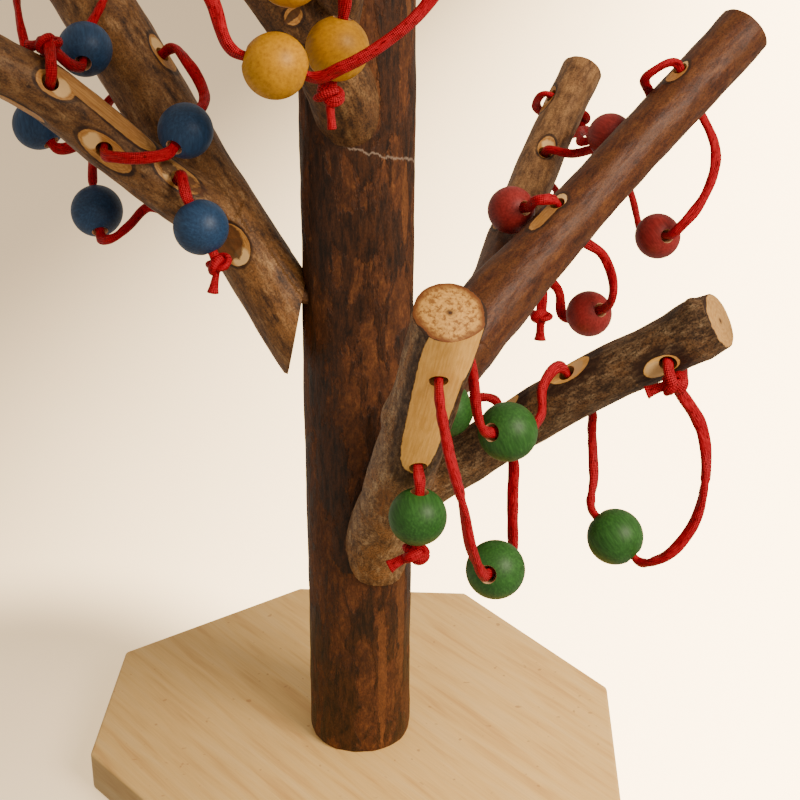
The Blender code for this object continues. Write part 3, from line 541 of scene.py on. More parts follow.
@dataclass(frozen=True)
class TrunkBark:
    """Dark bark of the trunk, dried and rubbed, with red-brown inner bark where it flaked.

    Broad dark plates with ragged ends lie over the inner bark, and one pale crack climbs
    round the trunk's front. Spots are (turn in degrees, height, half width and half height
    in mm). The crack has a height and a climb a radian, both in mm, and ends at turns in
    degrees, where it fades.
    """

    name: str = "trunk_flaking_bark"
    dark: str = "#1e1007"
    mid: str = "#452612"
    flake: str = "#562f17"
    flake_pale: str = "#724522"
    crack: str = "#8c7868"
    pale_spots: tuple = (
        (-33.0, 254.0, 2.0, 15.0), (-28.0, 335.0, 2.2, 16.0), (-63.0, 55.0, 2.0, 34.0),
        (-70.0, 300.0, 2.0, 12.0), (-36.0, 90.0, 2.5, 40.0),
    )
    dark_spots: tuple = (
        (-54.0, 310.0, 4.5, 24.0), (-128.0, 250.0, 6.0, 28.0), (-88.0, 246.0, 9.0, 9.0),
        (-118.0, 150.0, 7.0, 22.0), (-100.0, 120.0, 6.0, 15.0),
    )
    crack_mm: float = 267.7
    climb_mm: float = 6.3
    crack_ends: tuple = ((-112.0, -98.0), (6.0, -6.0))

    def spots(self, add: Adder, turn: Socket, height: Socket, uneven: Socket,
              places: tuple) -> Socket:
        """Mask ragged upright patches.

        Args:
            add: Adds a node.
            turn: The turn round the trunk.
            height: The height on it.
            uneven: Noise that makes the patches ragged.
            places: The patches' places and half sizes.

        Returns:
            The mask.
        """
        total = 0.0
        for angle, high, wide, tall in places:
            share = TRUNK_RADIUS / (wide * MM)
            across = add("Math MULTIPLY_ADD", turn, share, -math.radians(angle) * share)
            along = add("Math MULTIPLY_ADD", height, per_mm(tall), -high / tall)
            spot = add("CombineXYZ", across, along)
            away = add("VectorMath LENGTH", spot, out="Value")
            near = add("Math ADD", away, uneven)
            inside = add("MapRange", near, 1.06, 0.94)
            total = add("Math MAXIMUM", inside, total)
        return total

    def crack_line(self, add: Adder, turn: Socket, height: Socket, uneven: Socket) -> Socket:
        """Mask the pale crack that climbs round the trunk's front.

        Args:
            add: Adds a node.
            turn: The turn round the trunk.
            height: The height on it.
            uneven: Noise that makes the crack wander.

        Returns:
            The mask.
        """
        line = add("Math MULTIPLY_ADD", turn, self.climb_mm * MM, height)
        line = add("Math MULTIPLY_ADD", uneven, 2.8 * MM, line)
        off = add("Math SUBTRACT", line, self.crack_mm * MM)
        off = add("Math ABSOLUTE", off)
        mask = add("MapRange", off, 0.60 * MM, 0.10 * MM, 0.0, 0.8)
        for end in self.crack_ends:
            fade = add("MapRange", turn, *(math.radians(angle) for angle in end))
            mask = add("Math MULTIPLY", mask, fade)
        return mask

    def build(self) -> Material:
        """Build the trunk's node material."""
        material, shader, add = new_material(self.name)
        spot = add("TexCoord", out="Object")
        across, away, height = add("SeparateXYZ", spot, out=None)
        turn = add("Math ARCTAN2", away, across)
        streaks, patches, fine, clouds, torn, flecks = (
            speckle(add, spot, sizes, detail, 0.65, shift, 0.35)
            for sizes, detail, shift in (
                ((2.0, 2.0, 9.0), 9.0, 0.0), ((9.0, 9.0, 30.0), 7.0, 3.1),
                ((1.6, 1.6, 3.6), 8.0, 1.3), ((10.0, 10.0, 18.0), 3.0, 5.7),
                ((2.6, 2.6, 7.0), 5.0, 9.0), ((0.7, 0.7, 1.1), 4.0, 2.0)))
        ragged = add("MapRange", torn, 0.0, 1.0, -0.9, 0.9)
        flaked = add("ValToRGB", patches, stops=((0.475, 0.0), (0.525, 0.95)))
        pale = self.spots(add, turn, height, ragged, self.pale_spots)
        plate = self.spots(add, turn, height, ragged, self.dark_spots)
        flaked = add("Math MAXIMUM", flaked, pale)
        flaked = add("Math SUBTRACT", flaked, plate, use_clamp=True)
        skin = add("ValToRGB", streaks, stops=((0.38, self.dark), (0.60, self.mid)))
        inner = add("ValToRGB", fine, stops=(
            (0.34, self.mid), (0.50, self.flake), (0.70, self.flake_pale)))
        light = add("ValToRGB", clouds, stops=((0.34, 0.62), (0.62, 1.15)))
        inner = lay(add, 1.0, inner, light, Blend.MULTIPLY)
        inner = lay(add, pale, inner, lay(add, 0.45, inner, self.flake_pale))
        colour = lay(add, flaked, skin, inner)
        fleck = add("ValToRGB", flecks, stops=((0.36, 0.70), (0.62, 1.15)))
        colour = lay(add, 1.0, colour, fleck, Blend.MULTIPLY)
        crack = self.crack_line(add, turn, height, ragged)
        colour = lay(add, crack, colour, self.crack)
        rough = add("MapRange", flaked, 0.0, 1.0, 0.48, 0.66)
        relief = add("Math MULTIPLY_ADD", flaked, -0.6, streaks)
        relief = add("Math MULTIPLY_ADD", fine, 0.5, relief)
        bump = add("Bump", Strength=0.9, Distance=0.55 * MM, Height=relief)
        feed(shader, {"Base Color": colour, "Roughness": rough, "Normal": bump,
                      "Specular IOR Level": 0.25})
        return material


@dataclass(frozen=True)
class PineBoard:
    """Planed and sanded pine: long soft grain aslant on the board, almost matt.

    Painted shade darkens its sawn edges and its left side, and small brown pin knots show.
    """

    name: str = "board_sanded_pine"
    pale: str = "#ffd48a"
    mid: str = "#fccd7c"
    dark: str = "#eab568"
    pin: str = "#a86a3c"
    grain_turn: float = -50.0
    # left and edges: how much light the painted shade leaves on the left side and on the sawn
    # edges
    left: float = 0.66
    edges: float = 0.72

    def build(self) -> Material:
        """Build the board's node material."""
        material, shader, add = new_material(self.name)
        spot = add("TexCoord", out="Object")
        across, _, height = add("SeparateXYZ", spot, out=None)
        # painted shade: darker towards the board's left side and on the sawn edges below its top
        side = add("MapRange", across, -0.11, 0.08, self.left, 1.0)
        top = add("MapRange", height, BOARD_THICKNESS - 1.2 * MM, BOARD_THICKNESS - 0.6 * MM,
                  self.edges, 1.0)
        painted_shade = add("Math MULTIPLY", side, top)
        turned = add("Mapping", spot, vector_type="TEXTURE",
                     Rotation=(0.0, 0.0, math.radians(self.grain_turn)))
        bands = speckle(add, turned, (60.0, 5.0, 9.0), 5.0, 0.55, 0.0, 0.4)
        fibres = speckle(add, turned, (22.0, 0.7, 1.2), 6.0, 0.6)
        colour = add("ValToRGB", bands, stops=(
            (0.30, self.dark), (0.48, self.mid), (0.66, self.pale)))
        tint = add("ValToRGB", fibres, stops=((0.30, 0.92), (0.62, 1.03)))
        colour = lay(add, 1.0, colour, tint, Blend.MULTIPLY)
        colour = lay(add, 1.0, colour, painted_shade, Blend.MULTIPLY)
        pins = add("TexNoise", spot, Scale=per_mm(3.4), Detail=1.0)
        pins = add("ValToRGB", pins, stops=((0.73, 0.0), (0.78, 0.5)))
        colour = lay(add, pins, colour, self.pin)
        rough = add("MapRange", fibres, 0.0, 1.0, 0.62, 0.46)
        bump = add("Bump", Strength=0.35, Distance=0.12 * MM, Height=fibres)
        feed(shader, {"Base Color": colour, "Roughness": rough, "Normal": bump})
        return material


@dataclass(frozen=True)
class DyedBeech:
    """Turned beech dyed through its skin: satin, with the grain faintly showing."""

    name: str
    colour: str
    light: str
    dark: str
    roughness: float = 0.46
    grain_mm: float = 0.8

    def build(self) -> Material:
        """Build the dyed wood's node material."""
        material, shader, add = new_material(self.name)
        grain = add("Attribute", attribute_name="grain", out="Vector")
        size = self.grain_mm
        lines = speckle(add, grain, (size, size, size * 9), 5.0, 0.6)
        cloud = add("TexNoise", grain, Scale=per_mm(7.0), Detail=3.0)
        colour = add("ValToRGB", lines, stops=(
            (0.20, self.dark), (0.50, self.colour), (0.86, self.light)))
        soft = add("ValToRGB", cloud, stops=((0.35, 0.90), (0.65, 1.08)))
        colour = lay(add, 1.0, colour, soft, Blend.MULTIPLY)
        rough = add("MapRange", lines, 0.0, 1.0, self.roughness + 0.08, self.roughness - 0.06)
        bump = add("Bump", Strength=0.25, Distance=0.08 * MM, Height=lines)
        feed(shader, {"Base Color": colour, "Roughness": rough, "Normal": bump,
                      "Specular IOR Level": 0.25})
        return material


@dataclass(frozen=True)
class RawBeech:
    """Drilled or turned beech: matt, with fine short fibres, raw in a bore, stained on a dowel."""

    name: str
    wood: str = "#e3b98c"
    dark: str = "#c08f5e"

    def build(self) -> Material:
        """Build the raw wood's node material."""
        material, shader, add = new_material(self.name)
        spot = add("TexCoord", out="Object")
        fibres = add("TexNoise", spot, Scale=per_mm(1.1), Detail=6.0, Roughness=0.65)
        colour = add("ValToRGB", fibres, stops=((0.32, self.dark), (0.60, self.wood)))
        bump = add("Bump", Strength=0.5, Distance=0.15 * MM, Height=fibres)
        feed(shader, {"Base Color": colour, "Normal": bump, "Roughness": 0.75})
        return material


@dataclass(frozen=True)
class SatinBraid:
    """Braided rayon satin cord: silky red with fine stitches and painted shade in small creases.

    The stitch tops carry a painted highlight and the hollows between them painted shade, which
    show in some places and lie smooth in others, and short creases of painted shade follow
    the cord. It has no plastic gloss; its shine is soft and tinted by the dye.
    """

    name: str = "cord_satin_braid"
    colour: str = "#980c1a"
    # bright is the painted highlight on the stitch tops, deep the painted shade in the hollows
    bright: str = "#dc3642"
    deep: str = "#30020a"
    shine: str = "#ff8a7a"
    pitch_mm: float = 1.15
    columns: int = 9
    dash_mm: float = 2.6
    crease_mm: float = 1.7

    def build(self) -> Material:
        """Build the braid's node material."""
        material, shader, add = new_material(self.name)
        way = add("Attribute", attribute_name="grain", out="Vector")
        around, _, along = add("SeparateXYZ", way, out=None)
        spot = add("TexCoord", out="Object")
        jitter = add("TexNoise", spot, Scale=per_mm(1.3), Detail=3.0)
        turn = add("Math MULTIPLY", around, float(self.columns))
        turn = add("Math MULTIPLY_ADD", jitter, 3.2, turn)
        run = add("Math MULTIPLY", along, math.tau / (self.pitch_mm * MM))
        waves = []
        for operation in ("ADD", "SUBTRACT"):
            angle = add("Math " + operation, turn, run)
            waves.append(add("Math SINE", angle))
        weave = add("Math MULTIPLY", *waves)
        shown = add("TexNoise", spot, Scale=per_mm(9.0), Detail=2.0)
        shown = add("MapRange", shown, 0.40, 0.62, 0.10, 0.60)
        weave = add("Math MULTIPLY", weave, shown)
        dashes = add("Mapping", way, Scale=(3.2, 1.0, per_mm(self.dash_mm)))
        dashes = add("TexNoise", dashes, Scale=1.0, Detail=5.0, Roughness=0.7)
        # painted light: raised stitches and dashes are painted bright, the hollows between them
        # dark
        height = add("Math MULTIPLY_ADD", dashes, 1.7, weave)
        level = add("MapRange", height, -0.1, 1.9)
        colour = add("ValToRGB", level, stops=(
            (0.20, self.deep), (0.46, self.colour), (0.98, self.bright)))
        # painted shade: short dark creases along the cord
        crease_shade = add("Mapping", way, Scale=(2.4, 1.0, per_mm(self.crease_mm)))
        crease_shade = add("TexNoise", crease_shade, Scale=1.0, Detail=2.0)
        crease_shade = add("ValToRGB", crease_shade, stops=((0.33, 0.35), (0.40, 1.0)))
        colour = lay(add, 1.0, colour, crease_shade, Blend.MULTIPLY)
        rough = add("MapRange", level, 0.0, 1.0, 0.62, 0.34)
        bump = add("Bump", Strength=0.8, Distance=0.14 * MM, Height=height)
        feed(shader, {"Base Color": colour, "Roughness": rough, "Normal": bump,
                      "Specular IOR Level": 0.18, "Specular Tint": self.shine})
        return material


@dataclass(frozen=True)
class ZincSteel:
    """Zinc-plated screw steel: bright grey metal with faint turning marks."""

    name: str = "screw_zinc_steel"
    colour: str = "#b9bcc0"

    def build(self) -> Material:
        """Build the steel's node material."""
        material, shader, add = new_material(self.name)
        spot = add("TexCoord", out="Object")
        marks = add("TexNoise", spot, Scale=per_mm(0.5), Detail=5.0)
        rough = add("MapRange", marks, 0.0, 1.0, 0.24, 0.44)
        feed(shader, {"Roughness": rough, "Base Color": self.colour, "Metallic": 1.0})
        return material


BARKS = {
    # green fork: its wide dark rim beside the long flat is partly cut bark, partly painted shade
    # of the groove there
    "fork_green": BranchBark("branch_green_rough_bark", "#4a301e", "#7c5c3e", "#aa8c68",
                             "#885a2e", wood="#f4bc64", wood_dark="#d69c46", rim="#2c170a",
                             stipple=0.28, streak_mm=1.2, rim_mm=1.8, years=0.12,
                             second="#20130a", second_share=0.50, second_uneven=-0.3,
                             second_mm=(15.0, 40.0)),
    "fork_red": BranchBark("branch_red_smooth_bark", "#381a0a", "#522a13", "#6e4220",
                           "#5e3618", roughness=0.5, bump_mm=0.22, second="#cea26c",
                           second_share=0.22),
    "fork_blue": BranchBark("branch_blue_thin_bark", "#301c0d", "#6a4625", "#9c764c",
                            "#7c5228", scraped="#5a3216", roughness=0.52, bump_mm=0.3,
                            streak_mm=2.2, second="#20130a", second_share=0.16),
    "fork_yellow": BranchBark("branch_yellow_thin_bark", "#2e1c0e", "#5a3b1f", "#82603c",
                              "#684426", roughness=0.55, bump_mm=0.3, stipple=0.24,
                              scraped="#4a2a12"),
}

DYES = {
    "green": DyedBeech("bead_green_dyed_beech", "#2a5621", "#3e7230", "#1a3c15"),
    "blue": DyedBeech("bead_blue_dyed_beech", "#213a5a", "#2e4f74", "#142840"),
    "red": DyedBeech("bead_red_dyed_beech", "#80201f", "#983632", "#5a1413"),
    "yellow": DyedBeech("bead_yellow_dyed_beech", "#b07a00", "#c68e04", "#8e5e00",
                        grain_mm=1.1),
}


# ------------------------------------------------------------------ geometry


def place(shares: tuple) -> Vector:
    """Return a place given in thousandths of the tree's height."""
    return Vector([share / 1000 for share in shares]) * TREE_HEIGHT


def at_mm(*sizes: float) -> Vector:
    """Return a place given in millimetres."""
    return Vector([size * MM for size in sizes])


def circle_way(before: Vector, point: Vector, after: Vector) -> Vector:
    """Find the way of the circle through three points, at the middle one.

    Args:
        before: The first point.
        point: The middle point.
        after: The last point.

    Returns:
        The way, of length one.
    """
    one = point - before
    two = after - point
    return (one.normalized() * two.length + two.normalized() * one.length).normalized()


def bend_handle(first: Vector, second: Vector) -> float:
    """Return the handle share that makes a round arc between two ways."""
    turn = max(first.angle(second), 0.01)
    return math.tan(turn / 4) / math.sin(turn / 2) * 2 / 3


def arc_line(points: list[Vector], ways: list[Vector], step: float) -> tuple[list, list]:
    """Run smooth arcs through points.

    Args:
        points: The points to pass through.
        ways: The way that the line has at each point.
        step: About how far apart the line's own points lie.

    Returns:
        The line's points, and how far along the given points each one lies.
    """
    line = [points[0]]
    stations = [0.0]
    for i in range(len(points) - 1):
        start, end = points[i], points[i + 1]
        chord = (end - start).length
        count = max(2, round(chord / step))
        handle = chord * bend_handle(ways[i], ways[i + 1])
        one = start + ways[i] * handle
        two = end - ways[i + 1] * handle
        for k in range(1, count + 1):
            t = k / count
            s = 1.0 - t
            line.append(start * s ** 3 + one * 3 * s * s * t + two * 3 * s * t * t + end * t ** 3)
            stations.append(i + t)
    return line, stations


def carried_frames(line: np.ndarray) -> tuple[np.ndarray, np.ndarray, np.ndarray]:
    """Carry a frame along a line without twist.

    Args:
        line: The line's points, one a row.

    Returns:
        The line's ways, and two square ways at each point.
    """
    ways = np.gradient(line, axis=0)
    ways /= np.linalg.norm(ways, axis=1, keepdims=True)
    sides = np.empty_like(ways)
    side = np.array(Vector(ways[0]).orthogonal().normalized())
    for i, way in enumerate(ways):
        side = side - way * side.dot(way)
        side /= np.linalg.norm(side)
        sides[i] = side
    return ways, sides, np.cross(ways, sides)


def tube_mesh(line: np.ndarray, rings: np.ndarray) -> tuple[np.ndarray, list]:
    """Skin rings along a line as one closed tube.

    Args:
        line: The centre of each ring.
        rings: Points of each ring, as an array of rings by sides by three.

    Returns:
        The vertices and the faces, with a fan at each end.
    """
    count, sides = rings.shape[:2]
    vertices = np.concatenate([rings.reshape(-1, 3), line[:1], line[-1:]])
    faces = []
    for i in range(count - 1):
        low, high = i * sides, (i + 1) * sides
        for k in range(sides):
            j = (k + 1) % sides
            faces.append((low + k, low + j, high + j, high + k))
    last = (count - 1) * sides
    for k in range(sides):
        j = (k + 1) % sides
        faces.append((count * sides, j, k))
        faces.append((count * sides + 1, last + k, last + j))
    return vertices, faces


def add_object(name: str, data: bpy.types.ID) -> Object:
    """Link a new object to the scene.

    Args:
        name: The object's name.
        data: Its mesh, camera or light.

    Returns:
        The new object.
    """
    item = bpy.data.objects.new(name, data)
    bpy.context.scene.collection.objects.link(item)
    return item


def formed(form: bmesh.types.BMesh, name: str, finishes: tuple) -> Object:
    """Link an object made from a bmesh, and free that.

    Args:
        form: The bmesh.
        name: The object's name.
        finishes: Its materials, one for each slot.

    Returns:
        The new object.
    """
    mesh = bpy.data.meshes.new(name)
    form.to_mesh(mesh)
    form.free()
    for finish in finishes:
        mesh.materials.append(finish)
    return add_object(name, mesh)


def make_piece(name: str, vertices: np.ndarray | list, faces: list,
               *finishes: Material) -> Object:
    """Link a smooth-shaded mesh object.

    Args:
        name: The piece's name.
        vertices: Its points, in metres.
        faces: Its faces, as vertex numbers.
        finishes: Its materials, one for each slot.

    Returns:
        The new object.
    """
    mesh = bpy.data.meshes.new(name)
    mesh.from_pydata([tuple(v) for v in vertices], [], faces)
    for finish in finishes:
        mesh.materials.append(finish)
    mesh.shade_smooth()
    return add_object(name, mesh)


def stand_in(item: Object, solid: str, body: str = "tree") -> None:
    """Put a dressed piece in its solid's place.

    Args:
        item: The dressed piece.
        solid: The solid that it replaces.
        body: The body that it rides on.
    """
    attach(item, body)
    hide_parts(solid)


def applied(item: Object) -> Object:
    """Apply an object's modifiers to its mesh.

    Args:
        item: The object.

    Returns:
        The same object.
    """
    bpy.context.view_layer.update()
    seen = item.evaluated_get(bpy.context.evaluated_depsgraph_get())
    mesh = bpy.data.meshes.new_from_object(seen)
    item.modifiers.clear()
    old = item.data
    item.data = mesh
    bpy.data.meshes.remove(old)
    return item


def points_of(mesh: bpy.types.Mesh) -> np.ndarray:
    """Read a mesh's points.

    Args:
        mesh: The mesh.

    Returns:
        The points, one a row.
    """
    flat = np.empty(len(mesh.vertices) * 3)
    mesh.vertices.foreach_get("co", flat)
    return flat.reshape(-1, 3)


def move_points(mesh: bpy.types.Mesh, points: np.ndarray) -> None:
    """Move a mesh's points to new places."""
    mesh.vertices.foreach_set("co", points.ravel())
    mesh.update()


def write_values(mesh: bpy.types.Mesh, name: str, values: np.ndarray) -> None:
    """Store a number or a vector on each point of a mesh.

    Args:
        mesh: The mesh.
        name: The attribute's name.
        values: One number or one row for each point.
    """
    vector = values.ndim > 1
    layer = mesh.attributes.new(name, "FLOAT_VECTOR" if vector else "FLOAT", "POINT")
    layer.data.foreach_set("vector" if vector else "value", values.astype(np.float32).ravel())


def runs_along(line: np.ndarray) -> np.ndarray:
    """Return how far along a line each of its points lies."""
    steps = np.linalg.norm(np.diff(line, axis=0), axis=1)
    return np.concatenate([[0.0], np.cumsum(steps)])


def rough_field(points: np.ndarray, size: np.ndarray | float, seed: float = 0.0) -> np.ndarray:
    """Sample smooth noise from -1 to 1.

    Args:
        points: Where to sample, one a row.
        size: The size of its lumps, in metres, or one for each axis.
        seed: A shift that gives other noise.

    Returns:
        One number for each point.
    """
    scaled = points / size + seed
    return np.array([noise.noise(Vector(p)) for p in scaled])


# ------------------------------------------------------------------ branches


@dataclass
class Arm:
    """One arm of a fork: a bent, tapering round branch."""

    name: str
    step: float = 1.2 * MM
    overrun: float = 4.0 * MM
    line: np.ndarray = field(init=False)
    girths: np.ndarray = field(init=False)
    ways: np.ndarray = field(init=False)
    sides: np.ndarray = field(init=False)
    ups: np.ndarray = field(init=False)
    runs: np.ndarray = field(init=False)

    def __post_init__(self) -> None:
        """Work out the arm's line, its girth and the frames along it."""
        stem, shares = ARM_SHARES[self.name]
        points = [place(row[:3]) for row in shares]
        points.append(points[-1] + (points[-1] - points[-2]).normalized() * self.overrun)
        ways = [(points[1] - points[0]).normalized()]
        for i in range(1, len(points) - 1):
            ways.append(circle_way(points[i - 1], points[i], points[i + 1]))
        ways.append((points[-1] - points[-2]).normalized())
        line, stations = arc_line(points, ways, self.step)
        radii = [stem * (row[3] / 1000) for row in shares]
        radii.append(radii[-1])
        self.line = np.array(line)
        self.girths = np.interp(stations, range(len(radii)), radii)
        self.ways, self.sides, self.ups = carried_frames(self.line)
        self.runs = runs_along(self.line)

    @property
    def tip(self) -> tuple[Vector, Vector]:
        """The sawn tip's centre and the way it faces."""
        way = Vector(self.ways[-1])
        return Vector(self.line[-1]) - way * (self.overrun - 0.5 * MM), way

    def skin(self, form: bmesh.types.BMesh, sides: int = 36) -> None:
        """Add the arm's round skin to a bmesh.

        Args:
            form: The bmesh.
            sides: How many sides each ring has.
        """
        turns = np.linspace(0.0, math.tau, sides, endpoint=False)
        ring = (self.sides[:, None] * np.cos(turns)[None, :, None]
                + self.ups[:, None] * np.sin(turns)[None, :, None])
        rings = self.line[:, None] + ring * self.girths[:, None, None]
        vertices, faces = tube_mesh(self.line, rings)
        made = [form.verts.new(v) for v in vertices]
        for face in faces:
            form.faces.new([made[i] for i in face])

    def local(self, points: np.ndarray) -> tuple[np.ndarray, np.ndarray, np.ndarray]:
        """Place points in the straightened arm.

        Args:
            points: Points, one a row.

        Returns:
            Each point across, up and along the straight arm; how far it is outside the
            arm's skin; and the nearest number on the arm's line.
        """
        square = (points ** 2).sum(1)[:, None] + (self.line ** 2).sum(1)[None]
        nearest = (square - 2.0 * points @ self.line.T).argmin(1)
        away = points - self.line[nearest]
        across = (away * self.sides[nearest]).sum(1)
        up = (away * self.ups[nearest]).sum(1)
        along = (away * self.ways[nearest]).sum(1)
        spots = np.stack([across, up, self.runs[nearest] + along], 1)
        return spots, np.hypot(across, up) - self.girths[nearest], nearest

    def at(self, spot: Vector) -> tuple[Vector, Vector, float]:
        """Find the part of the arm that is nearest to a place.

        Args:
            spot: The place.

        Returns:
            The arm's axis point, its way and its radius there.
        """
        nearest = ((self.line - np.array(spot)) ** 2).sum(1).argmin()
        return (Vector(self.line[nearest]), Vector(self.ways[nearest]),
                float(self.girths[nearest]))


ARMS = {name: Arm(name) for name in ARM_SHARES}


@dataclass
class Hole:
    """One cord hole, drilled through an arm."""

    name: str

    @property
    def arm(self) -> Arm:
        """The arm that the hole is drilled in."""
        return ARMS[HOLE_SHARES[self.name][0]]

    def run(self) -> tuple[Vector, Vector, float]:
        """Return the hole's centre, its way and half its length inside the arm."""
        _, shares, way = HOLE_SHARES[self.name]
        centre = place(shares)
        way = Vector(way).normalized()
        _, axis, radius = self.arm.at(centre)
        slant = math.sqrt(1.0 - axis.dot(way) ** 2)
        return centre, way, radius / slant


@dataclass
class Whittled:
    """A place where the knife took the bark off: a long flat or an oval scoop.

    Attributes:
        arm: The arm's name.
        spot: A place near its middle.
        out: The way that the cut faces.
        depth: How deep the cut goes at its middle.
        reach: Half its length along the arm.
        tilt: How much deeper it goes a metre along the arm.
        square: How square its ends are: 2 for a scoop, 8 for a flat.
        bulge: How much the cut still bulges across the arm, one over its radius.
        bare: Whether pale wood shows; a scraped place keeps brown inner bark.
        fresh: The middle of its paler fresh edge.
    """

    arm: str
    spot: Vector
    out: Vector
    depth: float
    reach: float
    tilt: float = 0.0
    square: int = 2
    bulge: float = 0.0
    bare: bool = True
    fresh: Vector | None = None

    def frame(self) -> tuple[np.ndarray, np.ndarray, np.ndarray, np.ndarray, float]:
        """Return the cut's axis point, its ways along, out and across, and the arm's radius."""
        axis, along, radius = ARMS[self.arm].at(self.spot)
        out = (self.out - along * self.out.dot(along)).normalized()
        across = along.cross(out)
        return np.array(axis), np.array(along), np.array(out), np.array(across), radius

    def limit(self, points: np.ndarray) -> tuple[np.ndarray, np.ndarray]:
        """Work out the cut's surface at points.

        Args:
            points: Points, one a row.

        Returns:
            How far each point is above the cut, and how far the round bark would be.
        """
        axis, along, out, across, radius = self.frame()
        away = points - axis
        run = away @ along
        wide = away @ across
        high = away @ out
        floor = radius - self.depth * (1.0 - np.abs(run / self.reach) ** self.square)
        floor = floor - self.tilt * run - self.bulge * wide ** 2 / 2.0
        bark = np.sqrt(np.maximum(radius ** 2 - wide ** 2, 0.0))
        off = (high < 0.0) | (np.abs(wide) > radius) | (np.abs(run) > self.reach * RUN_OUT)
        above = np.where(off, -1.0, high - floor)
        peel = np.where(off, DEEP, bark - floor)
        return above, peel


@dataclass(frozen=True)
class Swelling:
    """A knob or ridge that the bark has grown over.

    Attributes:
        spot: Its middle, in mm.
        height: How far it stands out, in mm.
        size: How wide it is, in mm.
    """

    spot: tuple
    height: float
    size: float

    def push(self, points: np.ndarray) -> np.ndarray:
        """Return how far it pushes each point out."""
        away = ((points / MM - np.array(self.spot)) ** 2).sum(1)
        return self.height * MM * np.exp(-away / (2.0 * self.size ** 2))


